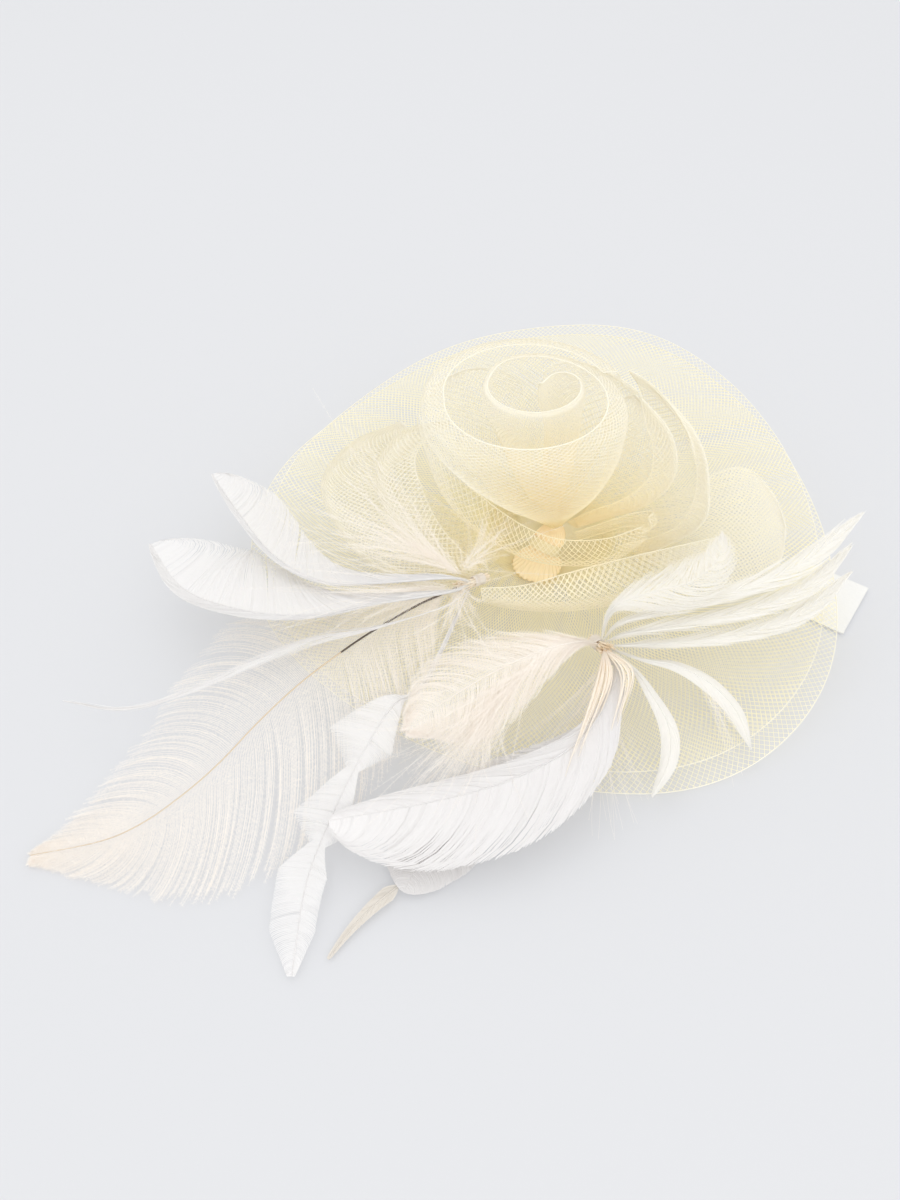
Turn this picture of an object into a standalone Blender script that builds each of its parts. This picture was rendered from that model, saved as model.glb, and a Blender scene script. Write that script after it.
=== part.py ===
"""Fascinator headpiece: a crin net brim with a rolled crin rose, a spray of feathers,
and a felt pad with a hair clip and a brooch fitting underneath.

Lengths are in millimetres, measured from the middle of the brim on the surface that the
hat lies on. They are turned into metres, and moved to the hat's own origin, by place().
+X is to the right of the hat as it is seen from its front, +Y is towards the back.
"""

import math

import bmesh
import bpy
from mathutils import Matrix, Vector

MM = 0.001
BRIM_CENTRE = Vector((29.15, 35.6, 0.0))   # the brim's middle, seen from the hat's origin

# Brim
BRIM_RADIUS = 148.0
BRIM_LOBES = 8.0           # three shallow lobes in the outline
BRIM_LOBE_ANGLE = math.radians(67)
BRIM_OFFSET = 4.0
BRIM_OFFSET_ANGLE = math.radians(60)
BACK_TRIM = (7.0, 5.0)     # how much less the lower and the upper layer reach at the back
RIGHT_TRIM = 9.0           # and the upper layer at the front right and at the left
LEFT_TRIM = 8.0
BRIM_HEIGHT = 22.0         # the middle, above the surface
BRIM_TILT = 0.147          # rise towards the back, per unit of length
BRIM_GAP = 2.4             # from the lower layer to the upper one
RUFFLES = 7
RUFFLE_HEIGHT = 1.3
FLAT_RADIUS = 36.0         # the level part over the pad
TILTED_RADIUS = 84.0
NET = 0.6                  # thickness of one piece of crin

# Pad and base
PAD_RADIUS = 34.0
PAD_BOTTOM = 17.0
PAD_THICKNESS = 3.0
BASE_RADIUS = 31.0
BASE_THICKNESS = 1.2
GAP = 0.35
POCKET_DEPTH = 0.5         # how far the felt is pressed in round the fittings
CLIP_POCKET = ((-30.0, 7.8), (28.0, 20.2))
BROOCH_POCKET = ((-23.5, -19.0), (19.0, -12.0))

# Swing tag
TAG_CORNERS = ((167.0, -22.0), (145.0, -53.0), (112.0, -30.0), (134.0, 1.0))
TAG_BOTTOM = 1.3
TAG_THICKNESS = 0.5
TAG_PIN = (125.0, -26.0)
TAG_HOLE = 1.4
BRIM_PIN_HOLE = 0.9        # radius of the gap in the net that the tag's pin goes through
TAG_PIN_RADIUS = 0.3
TAG_PIN_FOOT = 0.5
TAG_BAR_RADIUS = 0.4       # the cross bars at the two ends of the tag's pin
TAG_BARS = (2.5, 2.0)      # half their lengths, below the card and above the net

# Hair clip
CLIP_Y = 14.0
CLIP_LENGTH = 54.0
CLIP_WIDTH = 10.0
CLIP_PLATE = 1.0
CLIP_PIVOT = (-11.0, 11.6)
CLIP_PIN_RADIUS = 0.9
CLIP_HOLE_RADIUS = 1.15
CLIP_EAR_RADIUS = 2.5
SPRING_WIRE = 0.35
SPRING_RADIUS = 1.75
SPRING_TURNS = 3

# Brooch fitting
BROOCH_Y = -16.0
BROOCH_LENGTH = 36.0
BROOCH_BAR = 0.8
BROOCH_WIDTH = 5.0
BROOCH_AXIS_Z = 13.4
PIN_RADIUS = 0.4
ROLLER_RADII = (0.75, 1.2)
HOUSING_RADII = (1.55, 2.2)
CATCH_MOUTH = math.radians(84)

IVORY = (0.93, 0.87, 0.70)
CREAM = (0.95, 0.91, 0.80)
WHITE = (0.95, 0.95, 0.94)
STEEL = (0.66, 0.66, 0.67)


def material(name, colour, roughness, metallic=0.0):
    found = bpy.data.materials.get(name)
    if found:
        return found
    made = bpy.data.materials.new(name)
    made.use_nodes = True
    shader = made.node_tree.nodes["Principled BSDF"]
    shader.inputs["Base Color"].default_value = (*colour, 1.0)
    shader.inputs["Roughness"].default_value = roughness
    shader.inputs["Metallic"].default_value = metallic
    return made


def crin():
    return material("crin_net", IVORY, 0.55)


def white_feather():
    return material("white_feather", WHITE, 0.6)


def cream_feather():
    return material("cream_feather", CREAM, 0.65)


def felt():
    return material("felt", CREAM, 0.9)


def steel():
    return material("steel", STEEL, 0.3, 1.0)


def place(point):
    return (Vector(point) + BRIM_CENTRE) * MM


def finish(name, mesh_data, look, smooth=True):
    """Adds one closed body to the scene as a named object."""
    mesh_data.normal_update()
    bmesh.ops.recalc_face_normals(mesh_data, faces=mesh_data.faces)
    mesh = bpy.data.meshes.new(name)
    mesh_data.to_mesh(mesh)
    mesh_data.free()
    if smooth:
        mesh.shade_smooth()
        mesh.set_sharp_from_angle(angle=math.radians(40))
    mesh.materials.append(look)
    piece = bpy.data.objects.new(name, mesh)
    bpy.context.scene.collection.objects.link(piece)
    return piece


def ease(value):
    value = min(max(value, 0.0), 1.0)
    return value * value * (3.0 - 2.0 * value)


def curve_at(points, t):
    """The point at t, from 0 to 1, on a smooth curve through the points."""
    spans = len(points) - 1
    along = min(max(t, 0.0), 1.0) * spans
    i = min(int(along), spans - 1)
    f = along - i
    b, c = Vector(points[i]), Vector(points[i + 1])
    a = Vector(points[i - 1]) if i > 0 else b * 2 - c
    d = Vector(points[i + 2]) if i + 2 <= spans else c * 2 - b
    return 0.5 * (2 * b + (c - a) * f + (2 * a - 5 * b + 4 * c - d) * f ** 2
                  + (3 * b - 3 * c + d - a) * f ** 3)


def grid_normals(grid, closed):
    rows, columns = len(grid), len(grid[0])
    normals = []
    for i in range(rows):
        line = []
        for j in range(columns):
            left = grid[(i - 1) % rows if closed else max(i - 1, 0)][j]
            right = grid[(i + 1) % rows if closed else min(i + 1, rows - 1)][j]
            down = grid[i][max(j - 1, 0)]
            up = grid[i][min(j + 1, columns - 1)]
            line.append((right - left).cross(up - down).normalized())
        normals.append(line)
    return normals


def sheet_solid(name, grid, thickness, look, closed=False):
    """A thin closed body round a grid of points. thickness(j) is its depth at column j."""
    grid = [[Vector(p) for p in line] for line in grid]
    rows, columns = len(grid), len(grid[0])
    normals = grid_normals(grid, closed)
    depth = thickness if callable(thickness) else lambda j: thickness
    body = bmesh.new()
    sides = []
    for sign in (0.5, -0.5):
        sides.append([[body.verts.new(place(grid[i][j] + normals[i][j] * depth(j) * sign))
                       for j in range(columns)] for i in range(rows)])
    top, under = sides
    for i in range(rows if closed else rows - 1):
        k = (i + 1) % rows
        for j in range(columns - 1):
            body.faces.new((top[i][j], top[k][j], top[k][j + 1], top[i][j + 1]))
            body.faces.new((under[i][j], under[i][j + 1], under[k][j + 1], under[k][j]))
        for j in (0, columns - 1):
            body.faces.new((top[i][j], under[i][j], under[k][j], top[k][j]))
    if not closed:
        for i in (0, rows - 1):
            for j in range(columns - 1):
                body.faces.new((top[i][j], top[i][j + 1], under[i][j + 1], under[i][j]))
    return finish(name, body, look)


def arch(near, middle, far, t):
    """The point at t on a parabola through three points."""
    top = middle * 2 - (near + far) / 2
    return near * (1 - t) ** 2 + top * (2 * t * (1 - t)) + far * t ** 2


def lofted(near, middle, far, along, across):
    """A grid on the surface that passes through three curves."""
    grid = []
    for i in range(along + 1):
        ribs = [curve_at(curve, i / along) for curve in (near, middle, far)]
        grid.append([arch(*ribs, j / across) for j in range(across + 1)])
    return grid


# ---------------------------------------------------------------- brim

def rim_radius(angle):
    return (BRIM_RADIUS + BRIM_LOBES * math.cos(3 * (angle - BRIM_LOBE_ANGLE))
            + BRIM_OFFSET * math.cos(angle - BRIM_OFFSET_ANGLE))


def lower_rim(angle):
    return rim_radius(angle) - BACK_TRIM[0] * max(0.0, math.sin(angle))


def upper_rim(angle):
    back = max(0.0, math.sin(angle))
    front_right = max(0.0, math.cos(angle + math.radians(50)))
    left = max(0.0, math.cos(angle - math.radians(180))) ** 4
    return rim_radius(angle) - BACK_TRIM[1] * back - RIGHT_TRIM * front_right - LEFT_TRIM * left


def brim_height(radius, angle, lift):
    tilt = BRIM_TILT * radius * math.sin(angle)
    blend = ease((radius - FLAT_RADIUS) / (TILTED_RADIUS - FLAT_RADIUS))
    share = (radius / BRIM_RADIUS) ** 3
    ruffle = RUFFLE_HEIGHT * (1.0 + math.sin(RUFFLES * angle)) * share
    return BRIM_HEIGHT + blend * tilt + ruffle + lift * (1.0 + share)


def brim_layer(name, rim_at, lift, hole, look):
    """One layer of net: a ring from its gathered middle to its woven edge."""
    grid = []
    around, rings = 48, 4
    for i in range(around):
        angle = 2 * math.pi * i / around
        rim = rim_at(angle)
        line = []
        for j in range(rings + 1):
            radius = hole + (rim - hole) * j / rings
            line.append((radius * math.cos(angle), radius * math.sin(angle),
                         brim_height(radius, angle, lift)))
        grid.append(line)
    return sheet_solid(name, grid, NET, look, closed=True)


def disc(name, radius, bottom, thickness, look, centre=(0.0, 0.0), sides=40):
    body = bmesh.new()
    middle = place((*centre, bottom + thickness / 2))
    bmesh.ops.create_cone(body, cap_ends=True, cap_tris=False, segments=sides,
                          radius1=radius * MM, radius2=radius * MM, depth=thickness * MM,
                          matrix=Matrix.Translation(middle))
    return finish(name, body, look)


def make_brim():
    pad = disc("felt_pad", PAD_RADIUS, PAD_BOTTOM, PAD_THICKNESS, felt())
    combine(pad, [("DIFFERENCE", block((*low, PAD_BOTTOM - 1.0), (*high, PAD_BOTTOM + POCKET_DEPTH)))
                  for low, high in (CLIP_POCKET, BROOCH_POCKET)])
    disc("base_disc", BASE_RADIUS, PAD_BOTTOM + PAD_THICKNESS + GAP, BASE_THICKNESS,
         material("buckram", CREAM, 0.8))
    lower = brim_layer("brim_lower", lower_rim, 0.0, 3.0, crin())
    x, y = TAG_PIN
    combine(lower, [("DIFFERENCE", rod((x, y, 8), (x, y, 30), BRIM_PIN_HOLE, 10))])
    brim_layer("brim_upper", upper_rim, BRIM_GAP, 3.0, crin())


# ---------------------------------------------------------------- flower

ROSE_TIP = (0.0, -19.0, 44.0)
ROSE_BULGE = (-17.0, -8.0, 98.0)
ROSE_PROFILE = ((44.0, 3.0), (57.0, 15.0), (70.0, 28.0), (84.0, 38.5), (98.0, 45.0), (107.0, 43.5),
                (110.2, 35.5))
ROLL_PROFILE = ((62.0, 9.0), (80.0, 17.0), (98.0, 22.5), (107.0, 23.5), (109.5, 21.0))
HEART_PROFILE = ((74.0, 3.5), (92.0, 8.0), (104.0, 11.0), (108.5, 10.0))
ROLL_SHIFT = (4.0, 12.0)
HEART_SHIFT = (12.0, 7.0)
ROSE_BACK = 0.22           # how much wider the outermost turn opens at the back


def rose_axis(height):
    """The rose leans: its middle at a height above the surface."""
    t = (height - ROSE_TIP[2]) / (ROSE_BULGE[2] - ROSE_TIP[2])
    return Vector(ROSE_TIP).lerp(Vector(ROSE_BULGE), min(t, 1.0)).xy


def rolled_cup(name, profile, shift, around, look, squeeze=1.0, back=0.0):
    grid = []
    for i in range(around):
        angle = 2 * math.pi * i / around
        line = []
        for height, radius in profile:
            axis = rose_axis(height)
            grow = ease((height - profile[0][0]) / 30.0)
            wide = radius * (1.0 + back * max(0.0, math.sin(angle)))
            line.append((axis.x + shift[0] * grow + wide * math.cos(angle),
                         axis.y + shift[1] * grow + wide * squeeze * math.sin(angle), height))
        grid.append(line)
    return sheet_solid(name, grid, NET, look, closed=True)


# Each loop is a scoop of net through three curves: the edge near the front, the outermost
# line, and the edge behind. Every curve runs from the loop's free end to the knot.
LOOPS = {
    "sash_loop": (
        ((-66, 3, 94), (-57, -15, 84), (-38, -28, 72), (-19, -37, 62), (-1, -42, 57), (20, -43, 58),
         (38, -38, 61)),
        ((-65, 2, 82), (-57, -21, 71), (-42, -34, 60), (-21, -44, 51), (0, -48, 47), (24, -47, 48),
         (41, -38, 53)),
        ((-57, 1, 71), (-50, -19, 61), (-38, -31, 52), (-19, -39, 45), (0, -42, 42), (22, -41, 43),
         (37, -34, 49))),
    "sash_return": (
        ((41, -33, 62), (44, -28, 61), (38, -24, 57), (24, -25, 52), (9, -27, 47)),
        ((43, -34, 56), (47, -27, 54), (39, -21, 50), (24, -22, 46), (10, -25, 43)),
        ((39, -32, 51), (42, -27, 49), (35, -22, 46), (22, -23, 42), (10, -26, 40))),
    "petal_left_inner": (
        ((-47, 10, 80), (-60, 5, 80), (-68, -5, 74), (-64, -19, 66), (-55, -33, 55), (-38, -46, 42)),
        ((-52, 19, 78), (-74, 13, 76), (-86, -3, 68), (-82, -21, 57), (-66, -38, 46), (-40, -49, 37)),
        ((-46, 28, 70), (-62, 24, 66), (-72, 15, 59), (-66, 2, 52), (-47, -13, 44), (-24, -25, 38))),
    "petal_left_outer": (
        ((-60, 28, 63), (-74, 15, 62), (-82, 0, 57), (-79, -20, 50), (-64, -38, 43), (-42, -49, 37)),
        ((-76, 42, 60), (-102, 26, 58), (-115, 4, 52), (-107, -18, 44), (-84, -42, 36), (-48, -54, 30)),
        ((-64, 50, 53), (-83, 42, 46), (-89, 30, 42), (-77, 16, 38), (-54, -6, 35), (-34, -28, 31))),
    "petal_right_inner": (
        ((34, 16, 90), (43, 0, 84), (44, -12, 74), (39, -16, 66), (30, -17, 58), (18, -18, 53),
         (9, -19, 48)),
        ((38, 24, 90), (51, 6, 83), (55, -6, 72), (51, -13, 62), (40, -17, 54), (24, -18, 48),
         (11, -20, 44)),
        ((18, 34, 80), (25, 26, 71), (28, 16, 61), (25, 6, 53), (20, -4, 47), (14, -10, 43),
         (7, -14, 41))),
    "petal_right_outer": (
        ((63, 6, 80), (67, -8, 68), (64, -20, 56), (54, -26, 46), (30, -27, 37)),
        ((52, 29, 87), (67, 12, 77), (72, -5, 64), (69, -21, 50), (44, -30, 35)),
        ((38, 44, 90), (46, 41, 78), (49, 28, 62), (41, 8, 47), (22, -12, 35))),
    "petal_front": (
        ((-37, -62, 45), (-18, -63, 48), (2, -60, 53), (24, -55, 56), (50, -46, 55), (78, -34, 51)),
        ((-34, -65, 38), (-18, -69, 39), (4, -70, 41), (30, -66, 43), (58, -55, 43), (80, -40, 43)),
        ((-26, -55, 33), (-14, -58, 32), (4, -58, 31), (28, -54, 32), (52, -45, 33), (70, -36, 36))),
    "petal_low_right": (
        ((103, -50, 33), (88, -55, 33), (66, -45, 33), (40, -29, 32)),
        ((113, -20, 43), (97, -20, 42), (70, -18, 38), (41, -18, 32)),
        ((106, 5, 55), (90, 11, 55), (66, 6, 44), (38, -7, 32))),
    "petal_back_right": (
        ((38, 62, 74), (50, 52, 66), (48, 38, 54), (34, 22, 43), (16, 4, 34)),
        ((18, 76, 74), (32, 68, 62), (34, 50, 48), (24, 28, 38), (10, 6, 32)),
        ((-6, 72, 76), (2, 66, 62), (10, 50, 48), (10, 30, 39), (2, 8, 33))),
    "petal_back_left": (
        ((-14, 70, 74), (-12, 62, 60), (-12, 46, 47), (-10, 26, 38), (-6, 6, 34)),
        ((-42, 72, 72), (-42, 62, 60), (-36, 44, 47), (-24, 24, 38), (-14, 4, 33)),
        ((-66, 52, 74), (-62, 44, 62), (-50, 30, 50), (-32, 14, 41), (-18, -2, 35))),
}
KNOT_FOOT = (-9.0, -30.0, 25.4)
KNOT_TOP = (0.0, -19.0, 42.4)
KNOT_PROFILE = ((25.4, 9.0), (27.0, 12.5), (30.0, 9.5), (34.0, 7.5), (38.0, 8.0), (42.4, 5.0))


def make_knot():
    """The bound root of the flower: a waisted plug that leans back from the brim."""
    body = bmesh.new()
    sides = 20
    rings = []
    for height, radius in KNOT_PROFILE:
        t = (height - KNOT_FOOT[2]) / (KNOT_TOP[2] - KNOT_FOOT[2])
        middle = Vector(KNOT_FOOT).lerp(Vector(KNOT_TOP), t)
        rings.append([body.verts.new(place((
            middle.x + radius * math.cos(2 * math.pi * i / sides),
            middle.y + radius * math.sin(2 * math.pi * i / sides), height)))
            for i in range(sides)])
    for low, high in zip(rings, rings[1:]):
        for i in range(sides):
            k = (i + 1) % sides
            body.faces.new((low[i], low[k], high[k], high[i]))
    body.faces.new(rings[0][::-1])
    body.faces.new(rings[-1])
    finish("flower_knot", body, crin())


def make_flower():
    make_knot()
    rolled_cup("rose_outer", ROSE_PROFILE, (0.0, 0.0), 28, crin(), back=ROSE_BACK)
    rolled_cup("rose_roll", ROLL_PROFILE, ROLL_SHIFT, 20, crin())
    rolled_cup("rose_heart", HEART_PROFILE, HEART_SHIFT, 16, crin(), squeeze=0.55)
    for name, (near, middle, far) in LOOPS.items():
        sheet_solid(name, lofted(near, middle, far, 10, 4), NET, crin())


# ---------------------------------------------------------------- feathers

def feather_solid(name, spine, widths, look, along=9, across=(1, 1), lean=(0, 0, 1), droop=0.0):
    """A flat vane along a spine. widths run from root to tip, across gives the share of the
    width on each side, lean is the way the vane faces and droop how far its sides hang."""
    facing = Vector(lean).normalized()
    grid = []
    for i in range(along + 1):
        t = i / along
        here = curve_at(spine, t)
        ahead = curve_at(spine, min(t + 0.02, 1.0)) - curve_at(spine, max(t - 0.02, 0.0))
        sideways = facing.cross(ahead).normalized()
        half = curve_at([(w, 0, 0) for w in widths], t).x / 2
        sag = Vector((0, 0, -droop * half))
        grid.append([here + sideways * half * across[0] + sag,
                     here + sideways * half * across[0] * 0.5 + sag * 0.3,
                     here,
                     here - sideways * half * across[1] * 0.5 + sag * 0.3,
                     here - sideways * half * across[1] + sag])
    depths = (0.4, 0.6, 1.1, 0.6, 0.4)
    return sheet_solid(name, grid, lambda j: depths[j], look)


FEATHERS = {
    "goose_left_upper": dict(
        spine=((-52, -66, 56), (-84, -66, 53), (-110, -62, 50), (-134, -43, 47), (-156, -10, 43),
               (-176, 24, 40)),
        widths=(3, 7, 15, 22, 26, 22), across=(0.2, 1.8), look="white"),
    "goose_left_lower": dict(
        spine=((-52, -70, 51), (-84, -75, 49), (-114, -79, 46), (-144, -73, 42), (-176, -56, 38),
               (-199, -24, 36)),
        widths=(3, 8, 22, 38, 46, 42), across=(0.2, 1.8), look="white"),
    "whisker_hackle": dict(
        spine=((-52, -73, 46), (-84, -83, 42), (-112, -87, 38), (-140, -96, 32), (-170, -108, 26),
               (-196, -113, 22), (-224, -107, 20)),
        widths=(2, 4, 6, 5, 3, 2, 1.2), look="white", along=10),
    "marabou_tuft": dict(
        spine=((-46, -56, 54), (-64, -52, 66), (-82, -44, 74), (-98, -30, 79)),
        widths=(4, 24, 38, 30), look="cream"),
    "hen_plume": dict(
        spine=((6, -92, 43), (-12, -98, 44), (-34, -109, 42), (-55, -121, 37), (-70, -131, 31)),
        widths=(4, 24, 44, 48, 20), look="cream", lean=(0, -0.25, 1)),
    "satin_upper": dict(
        spine=((22, -97, 32), (17, -114, 32), (2, -135, 29), (-24, -150, 26), (-56, -159, 23),
               (-100, -167, 21)),
        widths=(4, 9, 24, 36, 38, 32), across=(1.45, 0.45), look="white", lean=(0, -0.2, 1)),
    "satin_lower": dict(
        spine=((25, -99, 26), (21, -117, 24), (6, -136, 20), (-14, -151, 16), (-36, -161, 13.5),
               (-60, -170, 11.5)),
        widths=(4, 9, 20, 30, 32, 24), across=(0.5, 1.35), look="white", lean=(0.2, -0.3, 1)),
    "satin_under": dict(
        spine=((-34, -148, 9), (-49, -160, 7.5), (-61, -173, 6), (-70, -189, 4)),
        widths=(10, 34, 34, 16), look="white", lean=(0, -0.2, 1)),
    "diamond_feather": dict(
        spine=((-62, -104, 30), (-76, -118, 31), (-90, -143, 25), (-103, -170, 13), (-109, -190, 7),
               (-111, -222, 2.5)),
        widths=(2, 4, 20, 4, 20, 5, 16, 18, 15, 5), look="white", along=18),
    "blade_feather": dict(
        spine=((-84, -193, 4), (-88, -201, 3.2), (-94, -208, 2.4), (-98, -215, 1.6)),
        widths=(3, 6, 5, 1.6), look="cream", along=6),
    "biot_front": dict(
        spine=((29, -97, 32), (36, -111, 31), (43, -124, 24), (42, -137, 17), (34, -150, 10)),
        widths=(2, 5, 8, 7, 1.6), look="white"),
    "biot_right": dict(
        spine=((34, -93, 32), (50, -97, 32), (64, -105, 29), (75, -114, 21), (81, -127, 11)),
        widths=(2, 6, 9, 8, 1.6), look="white"),
    "hackle_right_upper": dict(
        spine=((24, -84, 46), (52, -76, 49), (80, -68, 51), (112, -52, 52), (148, -20, 53)),
        widths=(2, 8, 10, 12, 4), look="white"),
    "hackle_right_middle": dict(
        spine=((26, -87, 42), (54, -82, 44), (84, -75, 45), (112, -62, 46), (140, -36, 47)),
        widths=(2, 8, 10, 10, 3), look="white"),
    "hackle_right_lower": dict(
        spine=((28, -90, 38), (56, -88, 38.5), (84, -83, 39), (110, -72, 40), (138, -48, 41)),
        widths=(2, 8, 10, 10, 3), look="white"),
    "curled_plume": dict(
        spine=((20, -80, 51), (36, -76, 57), (54, -72, 60), (68, -60, 61), (75, -42, 60)),
        widths=(4, 18, 24, 22, 10), look="white", lean=(0, -0.4, 1)),
    "hair_spray": dict(
        spine=((17, -96, 23), (18, -108, 19), (20, -124, 13), (22, -144, 8)),
        widths=(3, 14, 26, 34), look="cream", along=8),
}

# The ostrich plume: its stem, and the two edges that its barbs hang down to.
PLUME_STEM = ((-50, -62, 44), (-66, -67, 39), (-86, -78, 34), (-101, -89, 31), (-118, -103, 27),
              (-134, -120, 23), (-150, -139, 18), (-165, -153, 14), (-180, -163, 10),
              (-196, -169, 7), (-224, -173, 3))
PLUME_UPPER = ((-54, -56, 43), (-68, -55, 38), (-98, -50, 31), (-134, -50, 24), (-160, -60, 16),
               (-178, -84, 9), (-188, -108, 5), (-200, -132, 3.4), (-210, -150, 2.4), (-218, -162, 1.6),
               (-225, -171, 1.2))
PLUME_LOWER = ((-48, -68, 42), (-56, -84, 34), (-64, -112, 24), (-76, -140, 14), (-98, -166, 5),
               (-118, -180, 2), (-140, -192, 1.4), (-160, -194, 1.2), (-180, -190, 1.0), (-204, -183, 0.9),
               (-224, -176, 0.9))


def feather_tie(name, start, end, radius):
    """A bound bundle of quills: a short capsule between two points."""
    body = bmesh.new()
    sides = 12
    low, high = Vector(start), Vector(end)
    turn = (high - low).to_track_quat("Z", "Y").to_matrix()
    rings = []
    for share, scale in ((0.0, 0.5), (0.12, 0.9), (0.5, 1.0), (0.88, 0.9), (1.0, 0.5)):
        centre = low.lerp(high, share)
        rings.append([body.verts.new(place(centre + turn @ Vector((
            radius * scale * math.cos(2 * math.pi * i / sides),
            radius * scale * math.sin(2 * math.pi * i / sides), 0.0)))) for i in range(sides)])
    for one, two in zip(rings, rings[1:]):
        for i in range(sides):
            k = (i + 1) % sides
            body.faces.new((one[i], one[k], two[k], two[i]))
    body.faces.new(rings[0][::-1])
    body.faces.new(rings[-1])
    return finish(name, body, cream_feather())


def make_feathers():
    looks = {"white": white_feather(), "cream": cream_feather()}
    for name, facts in FEATHERS.items():
        facts = dict(facts)
        look = looks[facts.pop("look")]
        feather_solid(name, look=look, **facts)
    sheet_solid("ostrich_plume", lofted(PLUME_UPPER, PLUME_STEM, PLUME_LOWER, 16, 6), 0.9, cream_feather())
    feather_tie("feather_tie_left", (-48, -62, 45), (-34, -50, 40), 3.6)
    feather_tie("feather_tie_right", (19, -92, 36), (14, -78, 28), 4.2)


# ---------------------------------------------------------------- swing tag

def make_tag():
    """A plain card under the right of the brim, and the plastic pin that holds it there."""
    body = bmesh.new()
    low = [body.verts.new(place((x, y, TAG_BOTTOM))) for x, y in TAG_CORNERS]
    high = [body.verts.new(place((x, y, TAG_BOTTOM + TAG_THICKNESS))) for x, y in TAG_CORNERS]
    body.faces.new(low)
    body.faces.new(high[::-1])
    for i in range(4):
        k = (i + 1) % 4
        body.faces.new((low[i], high[i], high[k], low[k]))
    card = finish("swing_tag", body, material("card", WHITE, 0.7), smooth=False)
    x, y = TAG_PIN
    combine(card, [("DIFFERENCE", rod((x, y, 0), (x, y, 4), TAG_HOLE, 12))])

    top = brim_height(math.hypot(x, y), math.atan2(y, x), 0.0) + 1.7
    nylon = material("nylon", WHITE, 0.3)
    foot = TAG_PIN_FOOT
    pin = finish("tag_fastener", rod((x, y, foot), (x, y, top), TAG_PIN_RADIUS, 8), nylon)
    low, high = TAG_BARS
    combine(pin, [("UNION", rod((x - low, y, foot), (x + low, y, foot), TAG_BAR_RADIUS, 8)),
                  ("UNION", rod((x, y - high, top), (x, y + high, top), TAG_BAR_RADIUS, 8))])


# ---------------------------------------------------------------- fittings

def block(low, high):
    """A box between two corners, as an unlinked bmesh."""
    body = bmesh.new()
    middle = (Vector(low) + Vector(high)) / 2
    size = Vector(high) - Vector(low)
    bmesh.ops.create_cube(body, size=1.0, matrix=Matrix.Translation(place(middle))
                          @ Matrix.Diagonal((*(size * MM), 1.0)))
    return body


def rod(start, end, radius, sides=16):
    """A cylinder between two points, as an unlinked bmesh."""
    body = bmesh.new()
    low, high = place(start), place(end)
    turn = (high - low).to_track_quat("Z", "Y").to_matrix().to_4x4()
    bmesh.ops.create_cone(body, cap_ends=True, segments=sides, radius1=radius * MM,
                          radius2=radius * MM, depth=(high - low).length,
                          matrix=Matrix.Translation((low + high) / 2) @ turn)
    return body


def combine(target, steps):
    """Unites or cuts a piece with each of the other bodies in turn."""
    for operation, body in steps:
        tool = finish("tool", body, target.data.materials[0])
        cut = target.modifiers.new("combine", "BOOLEAN")
        cut.operation = operation
        cut.object = tool
        bpy.context.view_layer.update()
        evaluated = target.evaluated_get(bpy.context.evaluated_depsgraph_get())
        mesh = bpy.data.meshes.new_from_object(evaluated)
        target.modifiers.clear()
        target.data = mesh
        bpy.data.objects.remove(tool)
    target.data.name = target.name
    return target


def strip(profile, thickness, y_low, y_high):
    """A bent plate: a line of (x, z) points given a thickness and a width along Y."""
    body = bmesh.new()
    upper, lower = [], []
    for i, (x, z) in enumerate(profile):
        before = Vector(profile[max(i - 1, 0)])
        after = Vector(profile[min(i + 1, len(profile) - 1)])
        along = (after - before).normalized()
        normal = Vector((-along.y, along.x)) * thickness / 2
        upper.append((x + normal.x, z + normal.y))
        lower.append((x - normal.x, z - normal.y))
    outline = upper + lower[::-1]
    sides = [[body.verts.new(place((x, y, z))) for x, z in outline] for y in (y_low, y_high)]
    count = len(outline)
    for i in range(count):
        k = (i + 1) % count
        body.faces.new((sides[0][i], sides[0][k], sides[1][k], sides[1][i]))
    for i in range(len(profile) - 1):
        j = count - 1 - i
        body.faces.new((sides[0][i], sides[0][i + 1], sides[0][j - 1], sides[0][j]))
        body.faces.new((sides[1][j], sides[1][j - 1], sides[1][i + 1], sides[1][i]))
    return body


def wire(points, radius, sides=8):
    """A round wire through the points, closed at both ends."""
    body = bmesh.new()
    rings = []
    for i, point in enumerate(points):
        before, after = points[max(i - 1, 0)], points[min(i + 1, len(points) - 1)]
        turn = (Vector(after) - Vector(before)).to_track_quat("Z", "Y").to_matrix()
        rings.append([body.verts.new(place(Vector(point) + turn @ Vector((
            radius * math.cos(2 * math.pi * k / sides),
            radius * math.sin(2 * math.pi * k / sides), 0.0)))) for k in range(sides)])
    for one, two in zip(rings, rings[1:]):
        nearest = min(range(sides), key=lambda s: (two[s].co - one[0].co).length)
        for k in range(sides):
            m = (k + 1) % sides
            body.faces.new((one[k], one[m], two[(m + nearest) % sides], two[(k + nearest) % sides]))
        two[:] = two[nearest:] + two[:nearest]
    body.faces.new(rings[0][::-1])
    body.faces.new(rings[-1])
    return body


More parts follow.
